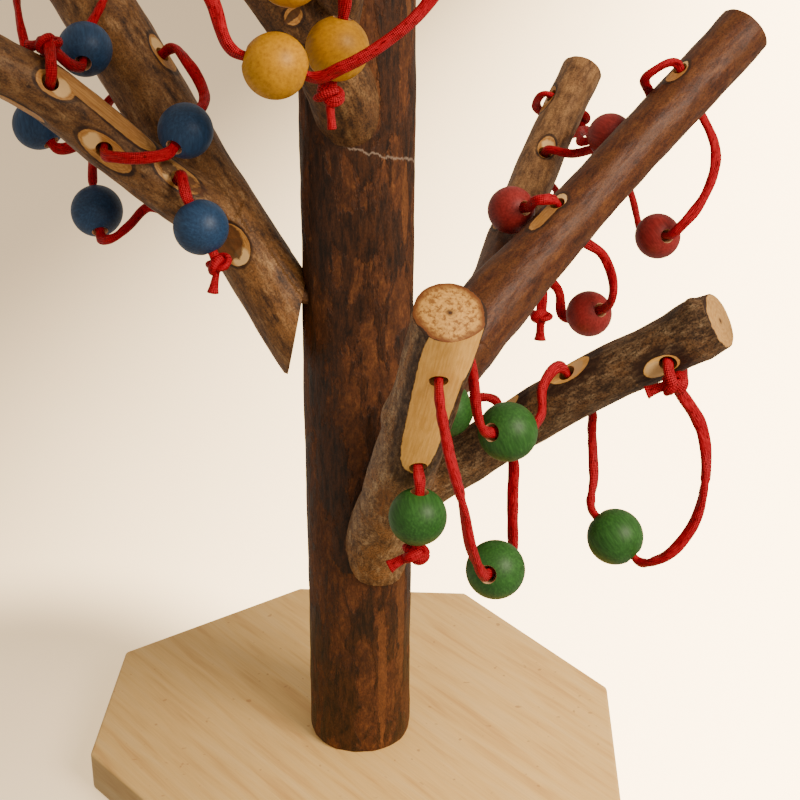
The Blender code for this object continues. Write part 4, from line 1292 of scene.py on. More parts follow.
@dataclass
class Fork:
    """One natural fork: two arms grown together, drilled, whittled and sawn.

    Attributes:
        name: The name of the solid that it stands for.
        cuts: Its whittled places.
        swellings: Its knobs.
        voxel: How fine its mesh is.
        crotch: How far from both arms the crotch is rounded.
        lump: How high the largest lumps of its bark are.
        relief: Size of the lumps in mm, and height in shares of the largest.
        seat_near: How far round the seat its mitre is sawn.
        tip_near: How far round a tip that is sawn.
        tip_ease: How wide a tip's rim is rubbed off.
        tip_drop: How far that stands back.
        drill_over: How much longer than a hole the drill is.
        fresh_reach: How far round its middle a fresh edge fades.
        seed: A shift that gives other lumps.
    """

    name: str
    cuts: list[Whittled]
    swellings: tuple = ()
    voxel: float = 0.85 * MM
    crotch: float = 6.0 * MM
    lump: float = 0.45 * MM
    relief: tuple = (((9.0, 9.0, 16.0), 1.0), ((2.4, 2.4, 9.0), 0.45))
    seat_near: float = 60.0 * MM
    tip_near: float = 22.0 * MM
    tip_ease: float = 0.5 * MM
    tip_drop: float = 0.4 * MM
    drill_over: float = 12.0 * MM
    fresh_reach: float = 6.0 * MM
    seed: float = 0.0

    def __post_init__(self) -> None:
        """Look up the fork's arms, seat and holes."""
        first, second, seat, way = FORKS[self.name]
        self.arms = (ARMS[first], ARMS[second])
        self.seat = place(seat)
        self.seat_way = Vector(way).normalized()
        self.holes = [Hole(name) for name, row in HOLE_SHARES.items()
                      if row[0] in (first, second)]

    def rough_body(self, finishes: tuple) -> Object:
        """Grow the two arms together as one even mesh.

        Args:
            finishes: The bark and the two end grains.

        Returns:
            The fork, still round and whole.
        """
        form = bmesh.new()
        for arm in self.arms:
            arm.skin(form)
        item = formed(form, self.name + "_dressed", finishes)
        melt = item.modifiers.new("grown_together", "REMESH")
        melt.mode = "VOXEL"
        melt.voxel_size = self.voxel
        return applied(item)

    def soften(self, mesh: bpy.types.Mesh, points: np.ndarray, rounds: int = 36) -> np.ndarray:
        """Round the crotch where both arms are near.

        Args:
            mesh: The fork's mesh, for its edges.
            points: Its points.
            rounds: How many times the crotch is smoothed.

        Returns:
            The moved points.
        """
        far = np.maximum(*[arm.local(points)[1] for arm in self.arms])
        share = np.clip(1.0 - far / self.crotch, 0.0, 1.0)
        share = (share * share * (3.0 - 2.0 * share))[:, None] * 0.5
        ends = np.empty(len(mesh.edges) * 2, int)
        mesh.edges.foreach_get("vertices", ends)
        one, two = ends.reshape(-1, 2).T
        count = np.bincount(ends, minlength=len(points))[:, None]
        for _ in range(rounds):
            total = np.zeros_like(points)
            for axis in range(3):
                total[:, axis] = (
                    np.bincount(one, points[two, axis], len(points))
                    + np.bincount(two, points[one, axis], len(points)))
            points = points + (total / count - points) * share
        return points

    def grain(self, points: np.ndarray) -> tuple[np.ndarray, np.ndarray]:
        """Lay points out on the straightened arms.

        Args:
            points: Points, one a row.

        Returns:
            Each point's place in the nearer arm, and that arm's radius there.
        """
        looks = [arm.local(points) for arm in self.arms]
        second = looks[1][1] < looks[0][1]
        spots = np.where(second[:, None], looks[1][0] + (0.0, 0.0, SECOND_ARM), looks[0][0])
        girths = np.where(second, self.arms[1].girths[looks[1][2]],
                          self.arms[0].girths[looks[0][2]])
        return spots, girths

    def weather(self, mesh: bpy.types.Mesh, points: np.ndarray) -> np.ndarray:
        """Give the round bark its lumps and ridges, then pare the whittled places.

        Args:
            mesh: The fork's mesh, for the ways that its skin faces.
            points: Its points.

        Returns:
            The moved points.
        """
        move_points(mesh, points)
        normals = np.empty(len(points) * 3)
        mesh.vertex_normals.foreach_get("vector", normals)
        normals = normals.reshape(-1, 3)
        spots = self.grain(points)[0]
        relief = 0.0
        for sizes, share in self.relief:
            relief += rough_field(spots, np.array(sizes) * MM, self.seed) * self.lump * share
        for swelling in self.swellings:
            relief += swelling.push(points)
        points = points + normals * relief[:, None]
        for cut in self.cuts:
            above, _ = cut.limit(points)
            out = cut.frame()[2]
            points = points - np.maximum(above, 0.0)[:, None] * out
        return points

    def saw(self, mesh: bpy.types.Mesh) -> None:
        """Saw the seat's mitre and both tips flat, and ease the tips' rims.

        Args:
            mesh: The fork's mesh.
        """
        form = bmesh.new()
        form.from_mesh(mesh)
        planes = [(self.seat, -self.seat_way, self.seat_near, PLAIN_END)]
        planes += [(*arm.tip, self.tip_near, slot)
                   for arm, slot in zip(self.arms, (FIRST_END, PLAIN_END))]
        for centre, way, near, slot in planes:
            faces = [f for f in form.faces if (f.calc_center_median() - centre).length < near]
            edges = dict.fromkeys(e for f in faces for e in f.edges)
            verts = dict.fromkeys(v for f in faces for v in f.verts)
            cut = bmesh.ops.bisect_plane(form, geom=[*verts, *edges, *faces], dist=1e-6,
                                         plane_co=centre, plane_no=way, clear_outer=True)
            rim = [e for e in cut["geom_cut"] if isinstance(e, bmesh.types.BMEdge)]
            made = bmesh.ops.contextual_create(form, geom=rim)["faces"]
            for face in made:
                face.material_index = slot
                face.normal_update()
                if face.normal.dot(way) < 0.0:
                    face.normal_flip()
            if near == self.tip_near:
                bmesh.ops.inset_region(form, faces=made, thickness=self.tip_ease,
                                       depth=self.tip_drop, use_even_offset=False)
        form.to_mesh(mesh)
        form.free()

    def drill(self, item: Object) -> None:
        """Drill the cord holes.

        Args:
            item: The fork.
        """
        form = bmesh.new()
        for hole in self.holes:
            centre, way, half = hole.run()
            turn = UP.rotation_difference(way).to_matrix().to_4x4()
            bmesh.ops.create_cone(
                form, cap_ends=True, segments=28, radius1=HOLE_RADIUS, radius2=HOLE_RADIUS,
                depth=2.0 * half + self.drill_over, matrix=Matrix.Translation(centre) @ turn)
        for face in form.faces:
            face.material_index = PLAIN_END
        drill = formed(form, self.name + "_drill", tuple(item.data.materials))
        bore = item.modifiers.new("drilled", "BOOLEAN")
        bore.operation = "DIFFERENCE"
        bore.solver = "EXACT"
        bore.object = drill
        applied(item)
        bpy.data.objects.remove(drill)

    def mark(self, mesh: bpy.types.Mesh) -> None:
        """Write what the materials read on the fork's points.

        These are how deep the knife went under the bark, for pared and for scraped places
        apart; how fresh the cut is; the place on the straightened arms; and their radius.

        Args:
            mesh: The fork's mesh.
        """
        points = points_of(mesh)
        spots, girths = self.grain(points)
        for name, bare in (("peel", True), ("scrape", False)):
            depth = np.full(len(points), DEEP)
            for cut in self.cuts:
                if cut.bare is bare:
                    depth = np.maximum(depth, cut.limit(points)[1])
            write_values(mesh, name, depth)
        fresh = np.zeros(len(points))
        for cut in self.cuts:
            if cut.fresh:
                away = np.linalg.norm(points - np.array(cut.fresh), axis=1)
                fresh = np.maximum(fresh, 1.0 - away / self.fresh_reach)
        write_values(mesh, "fresh", fresh)
        write_values(mesh, "grain", spots)
        write_values(mesh, "girth", girths)

    def build(self, *finishes: Material) -> Object:
        """Build the dressed fork.

        Args:
            finishes: The bark and the two end grains.

        Returns:
            The fork.
        """
        item = self.rough_body(finishes)
        points = self.soften(item.data, points_of(item.data))
        move_points(item.data, self.weather(item.data, points))
        self.drill(item)
        self.saw(item.data)
        self.mark(item.data)
        item.data.shade_smooth()
        item.data.set_sharp_from_angle(angle=SAWN_EDGE)
        stand_in(item, self.name)
        LOG.info("%s: %d faces", item.name, len(item.data.polygons))
        return item


def scoop(hole: str, depth_mm: float = 1.2, reach_mm: float = 9.0, rear: bool = False,
          slide_mm: float = 0.0, fresh_mm: float = 3.5) -> Whittled:
    """Describe the pared oval at one mouth of a hole.

    Args:
        hole: The hole's name.
        depth_mm: The cut's depth at its middle.
        reach_mm: Half its length.
        rear: Whether it is at the rear mouth.
        slide_mm: How far it lies towards the arm's tip from the mouth.
        fresh_mm: How far its fresh edge lies towards the arm's tip from the mouth.

    Returns:
        The whittled place.
    """
    centre, way, half = Hole(hole).run()
    if rear:
        way = -way
    arm = HOLE_SHARES[hole][0]
    mouth = centre - way * half
    along = ARMS[arm].at(mouth)[1] * MM
    return Whittled(arm, mouth + along * slide_mm, -way, depth_mm * MM, reach_mm * MM,
                    fresh=mouth + along * fresh_mm)


# ------------------------------------------------------------------ trunk and board


@dataclass
class Trunk:
    """The upright trunk, with the lumps, ridges and pits of its bark.

    Attributes:
        sides: How many sides its rings have.
        step: How far apart the rings are.
        relief: Size of the lumps in mm, seed and height in mm.
    """

    sides: int = 132
    step: float = 1.5 * MM
    relief: tuple = (((14.0, 14.0, 40.0), 3.0, 0.5), ((4.0, 4.0, 16.0), 5.0, 0.28),
                     ((1.8, 1.8, 6.0), 8.0, 0.12))

    def build(self, bark: Material, sawn: Material) -> Object:
        """Build the dressed trunk in its solid's place.

        Args:
            bark: The material round it.
            sawn: The material of its ends.

        Returns:
            The trunk.
        """
        foot = BOARD_THICKNESS + GAP
        tall = TRUNK_TOP - foot
        levels = np.arange(0.0, tall, self.step)
        levels = np.concatenate([levels, [tall]])
        shares = np.array(TRUNK_SHARES)
        radii = np.interp(levels / tall, shares[:, 0], shares[:, 1]) * TRUNK_RADIUS
        turns = np.linspace(0.0, math.tau, self.sides, endpoint=False)
        ring = np.stack([np.cos(turns), np.sin(turns), np.zeros_like(turns)], 1)
        rings = ring[None] * radii[:, None, None]
        rings[:, :, 2] += (levels + foot)[:, None]
        flat = rings.reshape(-1, 3)
        relief = 0.0
        for sizes, seed, high in self.relief:
            relief += rough_field(flat, np.array(sizes) * MM, seed) * high
        push = np.repeat(ring[None], len(levels), 0).reshape(-1, 3) * relief[:, None] * MM
        rings = (flat + push).reshape(rings.shape)
        line = np.stack([np.zeros_like(levels), np.zeros_like(levels), levels + foot], 1)
        vertices, faces = tube_mesh(line, rings)
        item = make_piece("trunk_dressed", vertices, faces, bark, sawn)
        points = points_of(item.data)
        write_values(item.data, "grain", points)
        write_values(item.data, "girth", np.full(len(points), TRUNK_RADIUS))
        for face in item.data.polygons[-2 * self.sides:]:
            face.material_index = 1
        item.data.set_sharp_from_angle(angle=SAWN_EDGE)
        stand_in(item, "trunk")
        LOG.info("trunk: %d faces", len(item.data.polygons))
        return item


@dataclass
class Board:
    """The eight-cornered pine board with eased edges."""

    edge: float = 1.5 * MM

    def build(self, pine: Material) -> Object:
        """Build the dressed board in its solid's place.

        Args:
            pine: Its material.

        Returns:
            The board.
        """
        form = bmesh.new()
        turn = Matrix.Rotation(math.radians(BOARD_TURN), 4, "Z")
        low = [form.verts.new(turn @ Vector((x * BOARD_SPAN, y * BOARD_SPAN, 0.0)))
               for x, y in BOARD_OUTLINE_SHARES]
        face = form.faces.new(low)
        lifted = bmesh.ops.extrude_face_region(form, geom=[face])
        top = [v for v in lifted["geom"] if isinstance(v, bmesh.types.BMVert)]
        bmesh.ops.translate(form, vec=UP * BOARD_THICKNESS, verts=top)
        bmesh.ops.recalc_face_normals(form, faces=form.faces)
        item = formed(form, "base_board_dressed", (pine,))
        round_over = item.modifiers.new("rounded_edges", "BEVEL")
        round_over.width = self.edge
        round_over.segments = 4
        applied(item)
        item.data.shade_smooth()
        item.data.set_sharp_from_angle(angle=math.radians(30.0))
        stand_in(item, "base_board")
        LOG.info("board: %d faces", len(item.data.polygons))
        return item


# ------------------------------------------------------------------ beads and cords


@dataclass
class Bead:
    """One turned bead on its own bore.

    Attributes:
        name: The name of its body and of the solid that it stands for.
        centre: Its centre.
        way: The way of its bore.
        sides: How many sides its rings have.
        arcs: How many rings its round outside has.
        mouth: How much wider than the bore its mouth is.
        lip: How much wider than the bore the countersink's middle is.
        lip_deep: How deep that lies.
        bore_deep: How deep the countersink ends.
        turns: How far its rings turn, its grain leans and its grain shifts for each seed.
    """

    name: str
    centre: Vector
    way: Vector
    sides: int = 48
    arcs: int = 29
    mouth: float = 0.30 * MM
    lip: float = 0.12 * MM
    lip_deep: float = 0.35 * MM
    bore_deep: float = 0.8 * MM
    turns: tuple = (1.7, 0.7, 0.03)

    @property
    def colour(self) -> str:
        """The bead's colour name."""
        return self.name.split("_")[1]

    def profile(self) -> tuple[list, int]:
        """Return the turned outline from mouth to mouth, and where the bore begins."""
        mouth = BORE_RADIUS + self.mouth
        rim = math.sqrt(BEAD_RADIUS ** 2 - mouth ** 2)
        first = math.asin(mouth / BEAD_RADIUS)
        outside = np.linspace(first, math.pi - first, self.arcs)
        lip = rim - self.lip_deep
        outline = [(BORE_RADIUS + self.lip, lip)]
        outline += [(BEAD_RADIUS * math.sin(a), BEAD_RADIUS * math.cos(a)) for a in outside]
        outline += [(BORE_RADIUS + self.lip, -lip)]
        bore = len(outline)
        deep = rim - self.bore_deep
        outline += [(BORE_RADIUS, -deep), (BORE_RADIUS, 0.0), (BORE_RADIUS, deep)]
        return outline, bore

    def build(self, dye: Material, raw: Material, seed: int) -> Object:
        """Build the dressed bead in its solid's place.

        Args:
            dye: The material of its outside.
            raw: The material of its bore.
            seed: A number that turns its grain.

        Returns:
            The bead.
        """
        outline, bore = self.profile()
        spin, slope, shift = (step * seed for step in self.turns)
        turn = UP.rotation_difference(self.way).to_matrix().to_4x4()
        stand = Matrix.Translation(self.centre) @ turn @ Matrix.Rotation(spin, 4, "Z")
        vertices, faces = [], []
        for radius, high in outline:
            for k in range(self.sides):
                angle = math.tau * k / self.sides
                vertices.append(stand @ Vector((radius * math.cos(angle),
                                                radius * math.sin(angle), high)))
        count = len(outline)
        for i in range(count):
            low, high = i * self.sides, (i + 1) % count * self.sides
            for k in range(self.sides):
                j = (k + 1) % self.sides
                faces.append((low + k, high + k, high + j, low + j))
        item = make_piece(self.name + "_dressed", vertices, faces, dye, raw)
        marks = [int(not 0 < i // self.sides < bore - 2) for i in range(len(faces))]
        item.data.polygons.foreach_set("material_index", marks)
        item.data.set_sharp_from_angle(angle=math.radians(40.0))
        lean = Matrix.Rotation(1.1 + slope, 3, Vector((1.0, 0.4, 0.2)))
        points = points_of(item.data) - np.array(self.centre)
        write_values(item.data, "grain", points @ np.array(lean).T + shift)
        stand_in(item, self.name, self.name)
        return item


def bead_places() -> dict[str, tuple[Vector, Vector]]:
    """Return each bead's centre and the way of its bore, from the frame's joints."""
    return {joint["child"]: (Vector(joint["pos_m"]), Vector(joint["axis"]).normalized())
            for joint in frame["joints"]}


@dataclass
class SatinTube:
    """A length of soft braided cord, a little flat and never quite even.

    Attributes:
        width: Half its width.
        thick: Half its thickness.
        sides: How many sides its rings have.
        step: How far apart the rings are.
        twist: How far its flat side turns either way, in radians.
        puff: How much it swells either way, as a share.
        twist_size: How long a turn of the flat side is.
        puff_size: How long a swelling is.
        dent_size: How long a dent in the flat side is.
        seed: A shift that gives another cord.
    """

    width: float = 2.25 * MM
    thick: float = 1.70 * MM
    sides: int = 24
    step: float = 0.7 * MM
    twist: float = 2.6
    puff: float = 0.16
    twist_size: float = 0.045
    puff_size: float = 0.007
    dent_size: float = 0.005
    seed: float = 0.0

    def skin(self, line: np.ndarray,
             squeeze: np.ndarray | float = 1.0) -> tuple[np.ndarray, list, np.ndarray]:
        """Skin a line as braided cord.

        Args:
            line: The cord's line, with close points.
            squeeze: The cord's girth at each point, as a share.

        Returns:
            The vertices, the faces and each vertex's place on the braid.
        """
        _, sides, ups = carried_frames(line)
        run = runs_along(line)
        twist, puff, dent = (
            np.array([noise.noise(Vector((s / size, self.seed, shift))) for s in run])
            for size, shift in ((self.twist_size, 0.3), (self.puff_size, 7.0),
                                (self.dent_size, 4.0)))
        twist = twist * self.twist
        puff = puff * self.puff
        dent = np.clip(dent * 0.7 + 0.12, 0.0, 0.4)
        turns = np.linspace(0.0, math.tau, self.sides, endpoint=False)
        wide = np.cos(turns)[None] * (self.width * (1.0 + puff))[:, None]
        high = np.sin(turns)[None] * (self.thick * (1.0 - puff))[:, None]
        high = high * (1.0 - dent[:, None] * np.abs(np.sin(turns[None])) ** 6)
        girth = np.asarray(squeeze) * np.ones(len(line))
        cosine, sine = np.cos(twist)[:, None], np.sin(twist)[:, None]
        across = (wide * cosine - high * sine) * girth[:, None]
        up = (wide * sine + high * cosine) * girth[:, None]
        rings = line[:, None] + sides[:, None] * across[..., None] + ups[:, None] * up[..., None]
        vertices, faces = tube_mesh(line, rings)
        place_on = np.zeros((len(vertices), 3))
        place_on[:-2, 0] = np.tile(turns, len(line))
        place_on[:-2, 2] = np.repeat(run, self.sides)
        place_on[-1, 2] = run[-1]
        return vertices, faces, place_on

    def build(self, name: str, skins: list, finish: Material) -> Object:
        """Build one piece from skinned lengths of cord.

        Args:
            name: The piece's name.
            skins: Each length's vertices, faces and places on the braid.
            finish: The cord's material.

        Returns:
            The piece.
        """
        faces, first = [], 0
        for skin in skins:
            faces += [tuple(i + first for i in face) for face in skin[1]]
            first += len(skin[0])
        item = make_piece(name, np.concatenate([skin[0] for skin in skins]), faces, finish)
        write_values(item.data, "grain", np.concatenate([skin[2] for skin in skins]))
        return item


def even_line(line: list[Vector], step: float) -> np.ndarray:
    """Set a line's points an even step apart.

    Args:
        line: The line's points.
        step: About how far apart they will be.

    Returns:
        The new points, one a row.
    """
    points = np.array([tuple(p) for p in line])
    run = runs_along(points)
    spots = np.linspace(0.0, run[-1], max(4, round(run[-1] / step)))
    return np.stack([np.interp(spots, run, points[:, k]) for k in range(3)], 1)


@dataclass
class Cord:
    """One cord with its stop knot under the first bead and its tie on the branch.

    Attributes:
        name: The name of the solid that it stands for.
        beads: Each bead's centre and the way of its bore.
        braid: What the cord is made of.
        tail_length: How long each cut tail is.
        tail_sag: How far its end hangs.
        knot_wide: How far a knot's strand runs from its middle.
        knot_tube: How far the strand swings about that.
        knot_steps: How many steps it takes.
        held: Its girth share where a bead or a hole holds it.
        free_run: How far from there it is its full girth again.
    """

    name: str
    beads: dict
    braid: SatinTube = field(default_factory=SatinTube)
    tail_length: float = 9.5 * MM
    tail_sag: float = 1.2 * MM
    knot_wide: float = 2.1 * MM
    knot_tube: float = 1.15 * MM
    knot_steps: int = 120
    held: float = 0.85
    free_run: float = 2.5 * MM

    def through(self, step: str) -> tuple[Vector, Vector, Vector]:
        """Find a straight run through a bead or a hole.

        Args:
            step: The name of the bead or the hole, with a minus to go the other way.

        Returns:
            The run's start, its end and its way.
        """
        name = step.lstrip("-")
        if name in self.beads:
            centre, way = self.beads[name]
            half = BEAD_RADIUS
        else:
            centre, way, half = Hole(name).run()
        if step.startswith("-"):
            way = -way
        half += BEAD_LEAD
        return centre - way * half, centre + way * half, way

    def stop(self) -> tuple[Vector, Vector]:
        """Return the stop knot's centre and the way that the cord leaves it."""
        first = CORD_ROUTES[self.name][0]
        if isinstance(first, str):
            low, _, way = self.through(first)
            return low - way * KNOT_RADIUS, way
        spot = at_mm(*RED_STOP)
        return spot, (at_mm(*first) - spot).normalized()

    def tie(self) -> Vector:
        """Return the centre of the knot at the cord's far end."""
        return at_mm(*HITCHES[self.name][1])

    def hitch_side(self) -> Vector:
        """Return the way from a hitch's hole to its knot, square to the hole."""
        centre, way, _ = Hole(HITCHES[self.name][0]).run()
        lean = self.tie() - centre
        return (lean - way * lean.dot(way)).normalized()

    def line(self) -> np.ndarray:
        """Return the cord's line from its stop knot to its tie."""
        stop, way = self.stop()
        points = [stop]
        ways = [way]
        for step in CORD_ROUTES[self.name]:
            if isinstance(step, str):
                low, high, way = self.through(step)
                if len(points) > 1:
                    points.append(low)
                    ways.append(way)
                points.append(high)
                ways.append(way)
            else:
                points.append(at_mm(*step))
                ways.append(None)
        tie = self.tie()
        points.append(tie)
        ways.append((tie - points[-2]).normalized())
        for i in range(1, len(points) - 1):
            if ways[i] is None:
                ways[i] = circle_way(points[i - 1], points[i], points[i + 1])
        return even_line(arc_line(points, ways, self.braid.step)[0], self.braid.step)

    def pinch(self, line: np.ndarray) -> np.ndarray:
        """Work out the cord's girth, less where a bead or a hole holds it.

        Args:
            line: The cord's line.

        Returns:
            The girth at each point, as a share.
        """
        girth = np.ones(len(line))
        for step in CORD_ROUTES[self.name]:
            if isinstance(step, str):
                low, high, _ = self.through(step)
                half = (high - low).length / 2.0
                away = np.linalg.norm(line - np.array((low + high) / 2.0), axis=1) - half
                free = np.clip(away / self.free_run, 0.0, 1.0)
                girth = np.minimum(girth, self.held + (1.0 - self.held) * free)
        return girth

    def knob(self, name: str, centre: Vector, way: Vector, finish: Material,
             tail: Vector, loop: list | None = None) -> Object:
        """Build a pulled-tight knot with its cut tail, and its loop if it has one.

        Args:
            name: The name of the solid that it stands for.
            centre: The knot's centre.
            way: The way that the cord runs into it.
            finish: The cord's material.
            tail: The way that its tail points.
            loop: The line of its loop round the branch.

        Returns:
            The knot.
        """
        wide, tube = self.knot_wide, self.knot_tube
        turn = UP.rotation_difference(way).to_matrix()
        spin = [math.tau * k / self.knot_steps for k in range(self.knot_steps + 1)]
        knot = [centre + turn @ Vector((
            (wide + tube * math.cos(3 * t)) * math.cos(2 * t) * 1.12,
            (wide + tube * math.cos(3 * t)) * math.sin(2 * t) * 0.94,
            tube * 1.35 * math.sin(3 * t))) for t in spin]
        tail = tail.normalized()
        end = [centre + tail * self.tail_length * t - UP * self.tail_sag * t * t
               for t in np.linspace(0.0, 1.0, 16)]
        skins = [self.braid.skin(even_line(knot, self.braid.step), 0.86)]
        end = even_line(end, self.braid.step)
        frayed = np.linspace(0.0, 1.0, len(end)) ** 5
        skins.append(self.braid.skin(end, 0.80 + 0.40 * frayed))
        if loop:
            skins.append(self.braid.skin(even_line(loop, self.braid.step), 0.95))
        item = self.braid.build(name + "_dressed", skins, finish)
        stand_in(item, name)
        return item

    def hitch_loop(self) -> list[Vector]:
        """Return the line of a hitch's loop: through the hole and round the arm."""
        centre, way, half = Hole(HITCHES[self.name][0]).run()
        side = self.hitch_side()
        wide = half + HITCH_SLACK
        tie = self.tie()
        short = half + BEAD_LEAD
        corner = math.sqrt(0.5)
        points = [
            tie - way * CORD_RADIUS, centre - way * short, centre + way * short,
            centre + (way + side) * wide * corner, centre + side * wide, tie,
        ]
        ways = [(-side - way * 0.5).normalized(), way, way, None, -way,
                -(way + side).normalized()]
        ways[3] = circle_way(points[2], points[3], points[4])
        return arc_line(points, ways, self.braid.step)[0]

    def build(self, finish: Material) -> Object:
        """Args:
            finish: The cord's material.

        Returns:
            The cord.
        """
        line = self.line()[::-1]
        skin = self.braid.skin(line, self.pinch(line))
        item = self.braid.build(self.name + "_dressed", [skin], finish)
        stand_in(item, self.name)
        spot, way = self.stop()
        stop = self.knob(self.name + "_stop_knot", spot, way, finish,
                         Vector(TAIL_WAYS[self.name]))
        tie = self.knob(self.name + "_tie", self.tie(), self.hitch_side(), finish,
                        Vector(HITCHES[self.name][2]), self.hitch_loop())
        return item


# ------------------------------------------------------------------ studio


@dataclass
class Studio:
    """The pale floor, the soft lights and the camera.

    Attributes:
        floor: The paper's colour.
        fibre: The colour of its fibres.
        air: The colour of the light all round.
        air_strength: How strong that is.
        lit: The colour of the floor's painted glow.
        glow: How strong that painted glow is at the floor's left and right.
        glow_run: Where along the slant it goes from one to the other, in metres.
        shade: The middle of the board's painted soft shadow.
        shade_run: Where the painted shadow starts and ends to fade, from its middle.
        shade_share: How much of the painted glow is left in it.
        window: Where the window's light stands.
        lens_mm: The camera's focal length.
        eye: Where the camera stands.
        pitch: How far it looks down, in degrees.
        roll: How far it leans, in degrees.
    """

    floor: str = "#ecdac0"
    fibre: str = "#e8d5b9"
    air: str = "#f6e6d0"
    air_strength: float = 0.74
    lit: str = "#ffdca6"
    glow: tuple = (0.25, 11.0)
    glow_run: tuple = (-0.45, 0.30)
    shade: tuple = (-0.16, 0.0, 0.0)
    shade_run: tuple = (0.09, 0.17)
    shade_share: float = 0.2
    window: tuple = (1.0, -0.85, 1.1)
    lens_mm: float = 72.0
    eye: tuple = (0.01612, -0.56272, 0.43626)
    pitch: float = 25.21
    roll: float = 0.335

    def build_camera(self) -> None:
        """Stand the camera at the photograph's angle."""
        data = bpy.data.cameras.new("photo_camera")
        data.lens = self.lens_mm
        data.sensor_width = 36.0
        camera = add_object("photo_camera", data)
        tilt = Matrix.Rotation(math.radians(90.0 - self.pitch), 4, "X")
        roll = Matrix.Rotation(math.radians(self.roll), 4, "Z")
        camera.matrix_world = Matrix.Translation(Vector(self.eye)) @ tilt @ roll
        bpy.context.scene.camera = camera

    def build_floor(self) -> None:
        """Lay the pale paper floor.

        It glows with painted light that brightens to the right, with a painted soft shadow of the
        board at its left, and casts no light itself.
        """
        material, shader, add = new_material("floor_matt_paper")
        spot = add("TexCoord", out="Object")
        fibres = add("TexNoise", spot, Scale=per_mm(3.0), Detail=4.0)
        colour = lay(add, fibres, self.floor, self.fibre)
        across, away, _ = add("SeparateXYZ", spot, out=None)
        # painted light: the floor's own glow, brighter towards the right
        slant = add("Math MULTIPLY_ADD", away, -0.22, across)
        glow = add("MapRange", slant, *self.glow_run, *self.glow,
                   interpolation_type="SMOOTHSTEP")
        # painted shadow: the glow dims in a soft pool at the board's left
        away = add("VectorMath DISTANCE", spot, self.shade, out="Value")
        shade = add("MapRange", away, *self.shade_run, self.shade_share, 1.0,
                    interpolation_type="SMOOTHSTEP")
        glow = add("Math MULTIPLY", glow, shade)
        feed(shader, {"Base Color": colour, "Emission Strength": glow,
                      "Emission Color": self.lit, "Roughness": 0.9})
        form = bmesh.new()
        bmesh.ops.create_grid(form, x_segments=4, y_segments=4, size=6.0)
        floor = formed(form, "paper_floor", (material,))
        floor.visible_diffuse = False
        floor.visible_glossy = False

    def add_light(self, name: str, spot: Vector, size: float, power: float,
                  colour: str) -> None:
        """Add one soft square light that faces the tree.

        Args:
            name: The light's name.
            spot: Where it stands.
            size: Its side, in metres.
            power: Its power, in watts.
            colour: Its colour.
        """
        data = bpy.data.lights.new(name, "AREA")
        data.size = size
        data.energy = power
        data.color = linear(colour)[:3]
        aim = Vector((0.0, 0.0, TREE_HEIGHT / 2.0)) - spot
        turn = aim.to_track_quat("-Z", "Y").to_matrix().to_4x4()
        add_object(name, data).matrix_world = Matrix.Translation(spot) @ turn

    def build(self) -> None:
        """Build the whole studio."""
        world = bpy.data.worlds.new("studio_air")
        world.use_nodes = True
        feed(world.node_tree.nodes["Background"],
             {"Color": self.air, "Strength": self.air_strength})
        bpy.context.scene.world = world
        self.build_floor()
        self.add_light("window_right", Vector(self.window), 0.7, 38.0, "#fff0db")
        self.build_camera()


SWELLINGS = {
    "fork_green": (
        Swelling((10.5, -83, 206), 1.6, 5.0),
        Swelling((113, -69, 239), 2.0, 2.8),
        Swelling((112.8, -66, 238.6), 1.4, 1.8),
        Swelling((117, -70, 224), 1.0, 3.5),
        Swelling((11, -65.3, 162.9), 0.8, 3.5),
    ),
    "fork_blue": (Swelling((-47.8, -6, 241), 0.9, 6.0),),
    "fork_yellow": (Swelling((-17.9, -51.3, 331.3), 1.0, 3.0),),
}


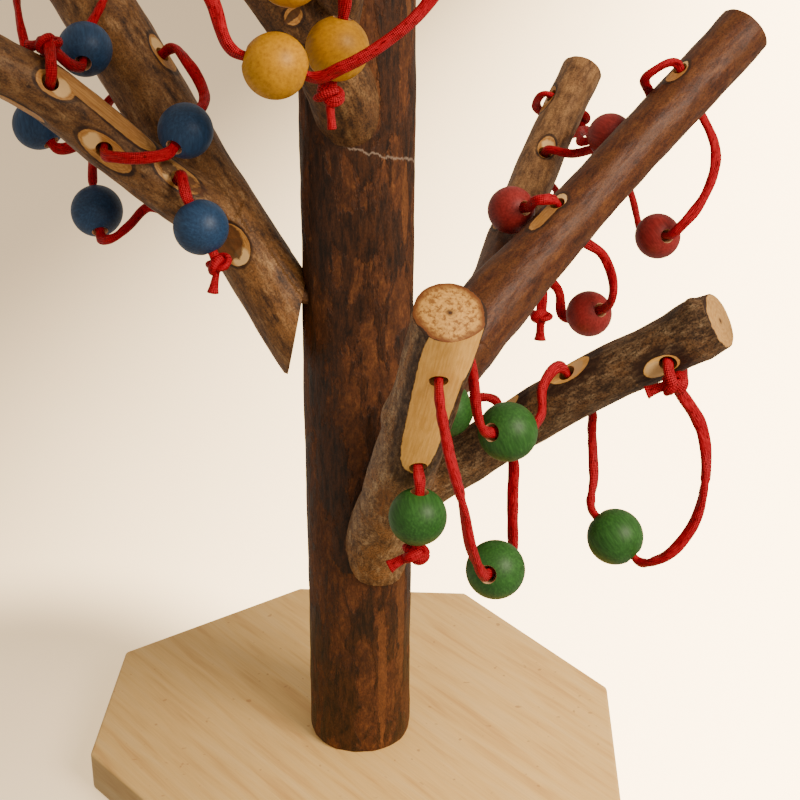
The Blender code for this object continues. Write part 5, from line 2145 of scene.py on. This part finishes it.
def branch_cuts() -> dict[str, list[Whittled]]:
    """Return the whittled places of each fork."""
    return {
        "fork_green": [
            Whittled("green_front", place((64, -238, 556)), Vector((0.04, -0.84, -0.56)),
                     1.25 * MM, 46.0 * MM, tilt=0.012, square=6, bulge=55.0),
            Whittled("green_front", place((76, -288, 630)), Vector((0.45, -0.80, -0.50)),
                     1.2 * MM, 22.0 * MM, square=4, bulge=60.0),
            Whittled("green_front", at_mm(11, -65.3, 160), Vector((-0.3, -0.9, 0.1)),
                     0.4 * MM, 16.0 * MM, bare=False),
            scoop("green_side_low", 1.0, 8.0),
            scoop("green_side_mid", 1.1, 9.0, slide_mm=1.5),
            scoop("green_side_high", 0.9, 7.0, slide_mm=-3.0, fresh_mm=-5.0),
        ],
        "fork_red": [
            scoop("red_long_low", 0.6, 5.0, slide_mm=1.0),
            scoop("red_long_high", 0.7, 7.0, slide_mm=-2.0),
            Whittled("red_long", at_mm(76.1, 60.9, 227), Vector((-0.45, -0.30, 0.84)),
                     0.5 * MM, 11.0 * MM, square=4),
            scoop("red_short_low", 0.8, 6.0),
            scoop("red_short_mid", 0.9, 7.0, slide_mm=3.5, fresh_mm=5.0),
            Whittled("red_short", at_mm(83, 167.5, 246.6), Vector((-0.8, -0.5, 0.1)),
                     0.9 * MM, 9.0 * MM, fresh=at_mm(83, 167.5, 246.6)),
        ],
        "fork_blue": [
            scoop("blue_side_low", 1.3, 11.0, slide_mm=1.0),
            scoop("blue_side_mid", 1.3, 12.0, slide_mm=-1.0, fresh_mm=5.5),
            scoop("blue_side_high", 1.0, 8.0, slide_mm=-2.0, fresh_mm=-4.5),
            scoop("blue_rear_low", 1.0, 9.0),
            Whittled("blue_side", at_mm(-90, -6.2, 288.5), Vector((0.35, -0.35, 0.87)),
                     1.0 * MM, 25.0 * MM, square=6),
            Whittled("blue_side", at_mm(-116.7, -16.2, 290.4), Vector((-0.30, -0.45, -0.84)),
                     0.8 * MM, 11.0 * MM, square=4),
            Whittled("blue_rear", at_mm(-47.5, -4, 239), Vector((-0.25, -0.9, 0.1)),
                     1.5 * MM, 8.5 * MM, bare=False),
            Whittled("blue_rear", at_mm(-46.2, -4.5, 237), Vector((-0.12, -0.9, 0.1)),
                     1.5 * MM, 9.0 * MM, fresh=at_mm(-42.5, -6.2, 232)),
            Whittled("blue_side", at_mm(-64, -4, 262), Vector((0.2, -0.6, 0.8)),
                     0.5 * MM, 16.0 * MM, bare=False),
        ],
        "fork_yellow": [
            scoop("yellow_right_low", 0.8, 6.0),
            scoop("yellow_left_low", 0.8, 6.0),
            Whittled("yellow_left", at_mm(-17.9, -51.3, 331.3), Vector((0.1, -0.9, 0.3)),
                     0.7 * MM, 3.6 * MM),
            Whittled("yellow_left", at_mm(-17.2, -51.3, 331.6), Vector((0.1, -0.9, 0.3)),
                     1.0 * MM, 1.7 * MM, bare=False),
        ],
    }


def main() -> None:
    """Build every piece in order."""
    logging.basicConfig(level=logging.INFO, format="%(name)s: %(message)s")
    Studio().build()
    beads = bead_places()
    braid = SatinBraid().build()
    for number, name in enumerate(CORD_ROUTES):
        Cord(name, beads, SatinTube(seed=3.7 * number)).build(braid)
    plain = SawnWood("branch_end_plain", "#bf9355", "#8a5a26").build()
    brown = SawnWood("branch_end_brown_rim", "#d09c50", "#74461a", "#6c3c16", "#3f2410",
                     rim_mm=3.2, blots=0.85, blot_mm=1.9).build()
    cuts = branch_cuts()
    for number, name in enumerate(FORKS):
        first = brown if name == "fork_green" else plain
        fork = Fork(name, cuts[name], SWELLINGS.get(name, ()), seed=11.3 * number)
        fork.build(BARKS[name].build(), first, plain)
    Trunk().build(TrunkBark().build(), plain)
    Board().build(PineBoard().build())
    raw = RawBeech("bead_bore_raw_beech").build()
    dyes = {colour: dye.build() for colour, dye in DYES.items()}
    for number, (name, (centre, way)) in enumerate(beads.items()):
        bead = Bead(name, centre, way)
        bead.build(dyes[bead.colour], raw, number)
    LOG.info("beads: %d", len(beads))
    beech = RawBeech("dowel_stained_beech", "#6a4424", "#3e2613").build()
    steel = ZincSteel().build()
    for name, node in frame["nodes"].items():
        if name.startswith("dowel"):
            node.data.materials[0] = beech
        elif name.startswith("trunk_screw"):
            node.data.materials[0] = steel


if __name__ == "__main__":
    main()
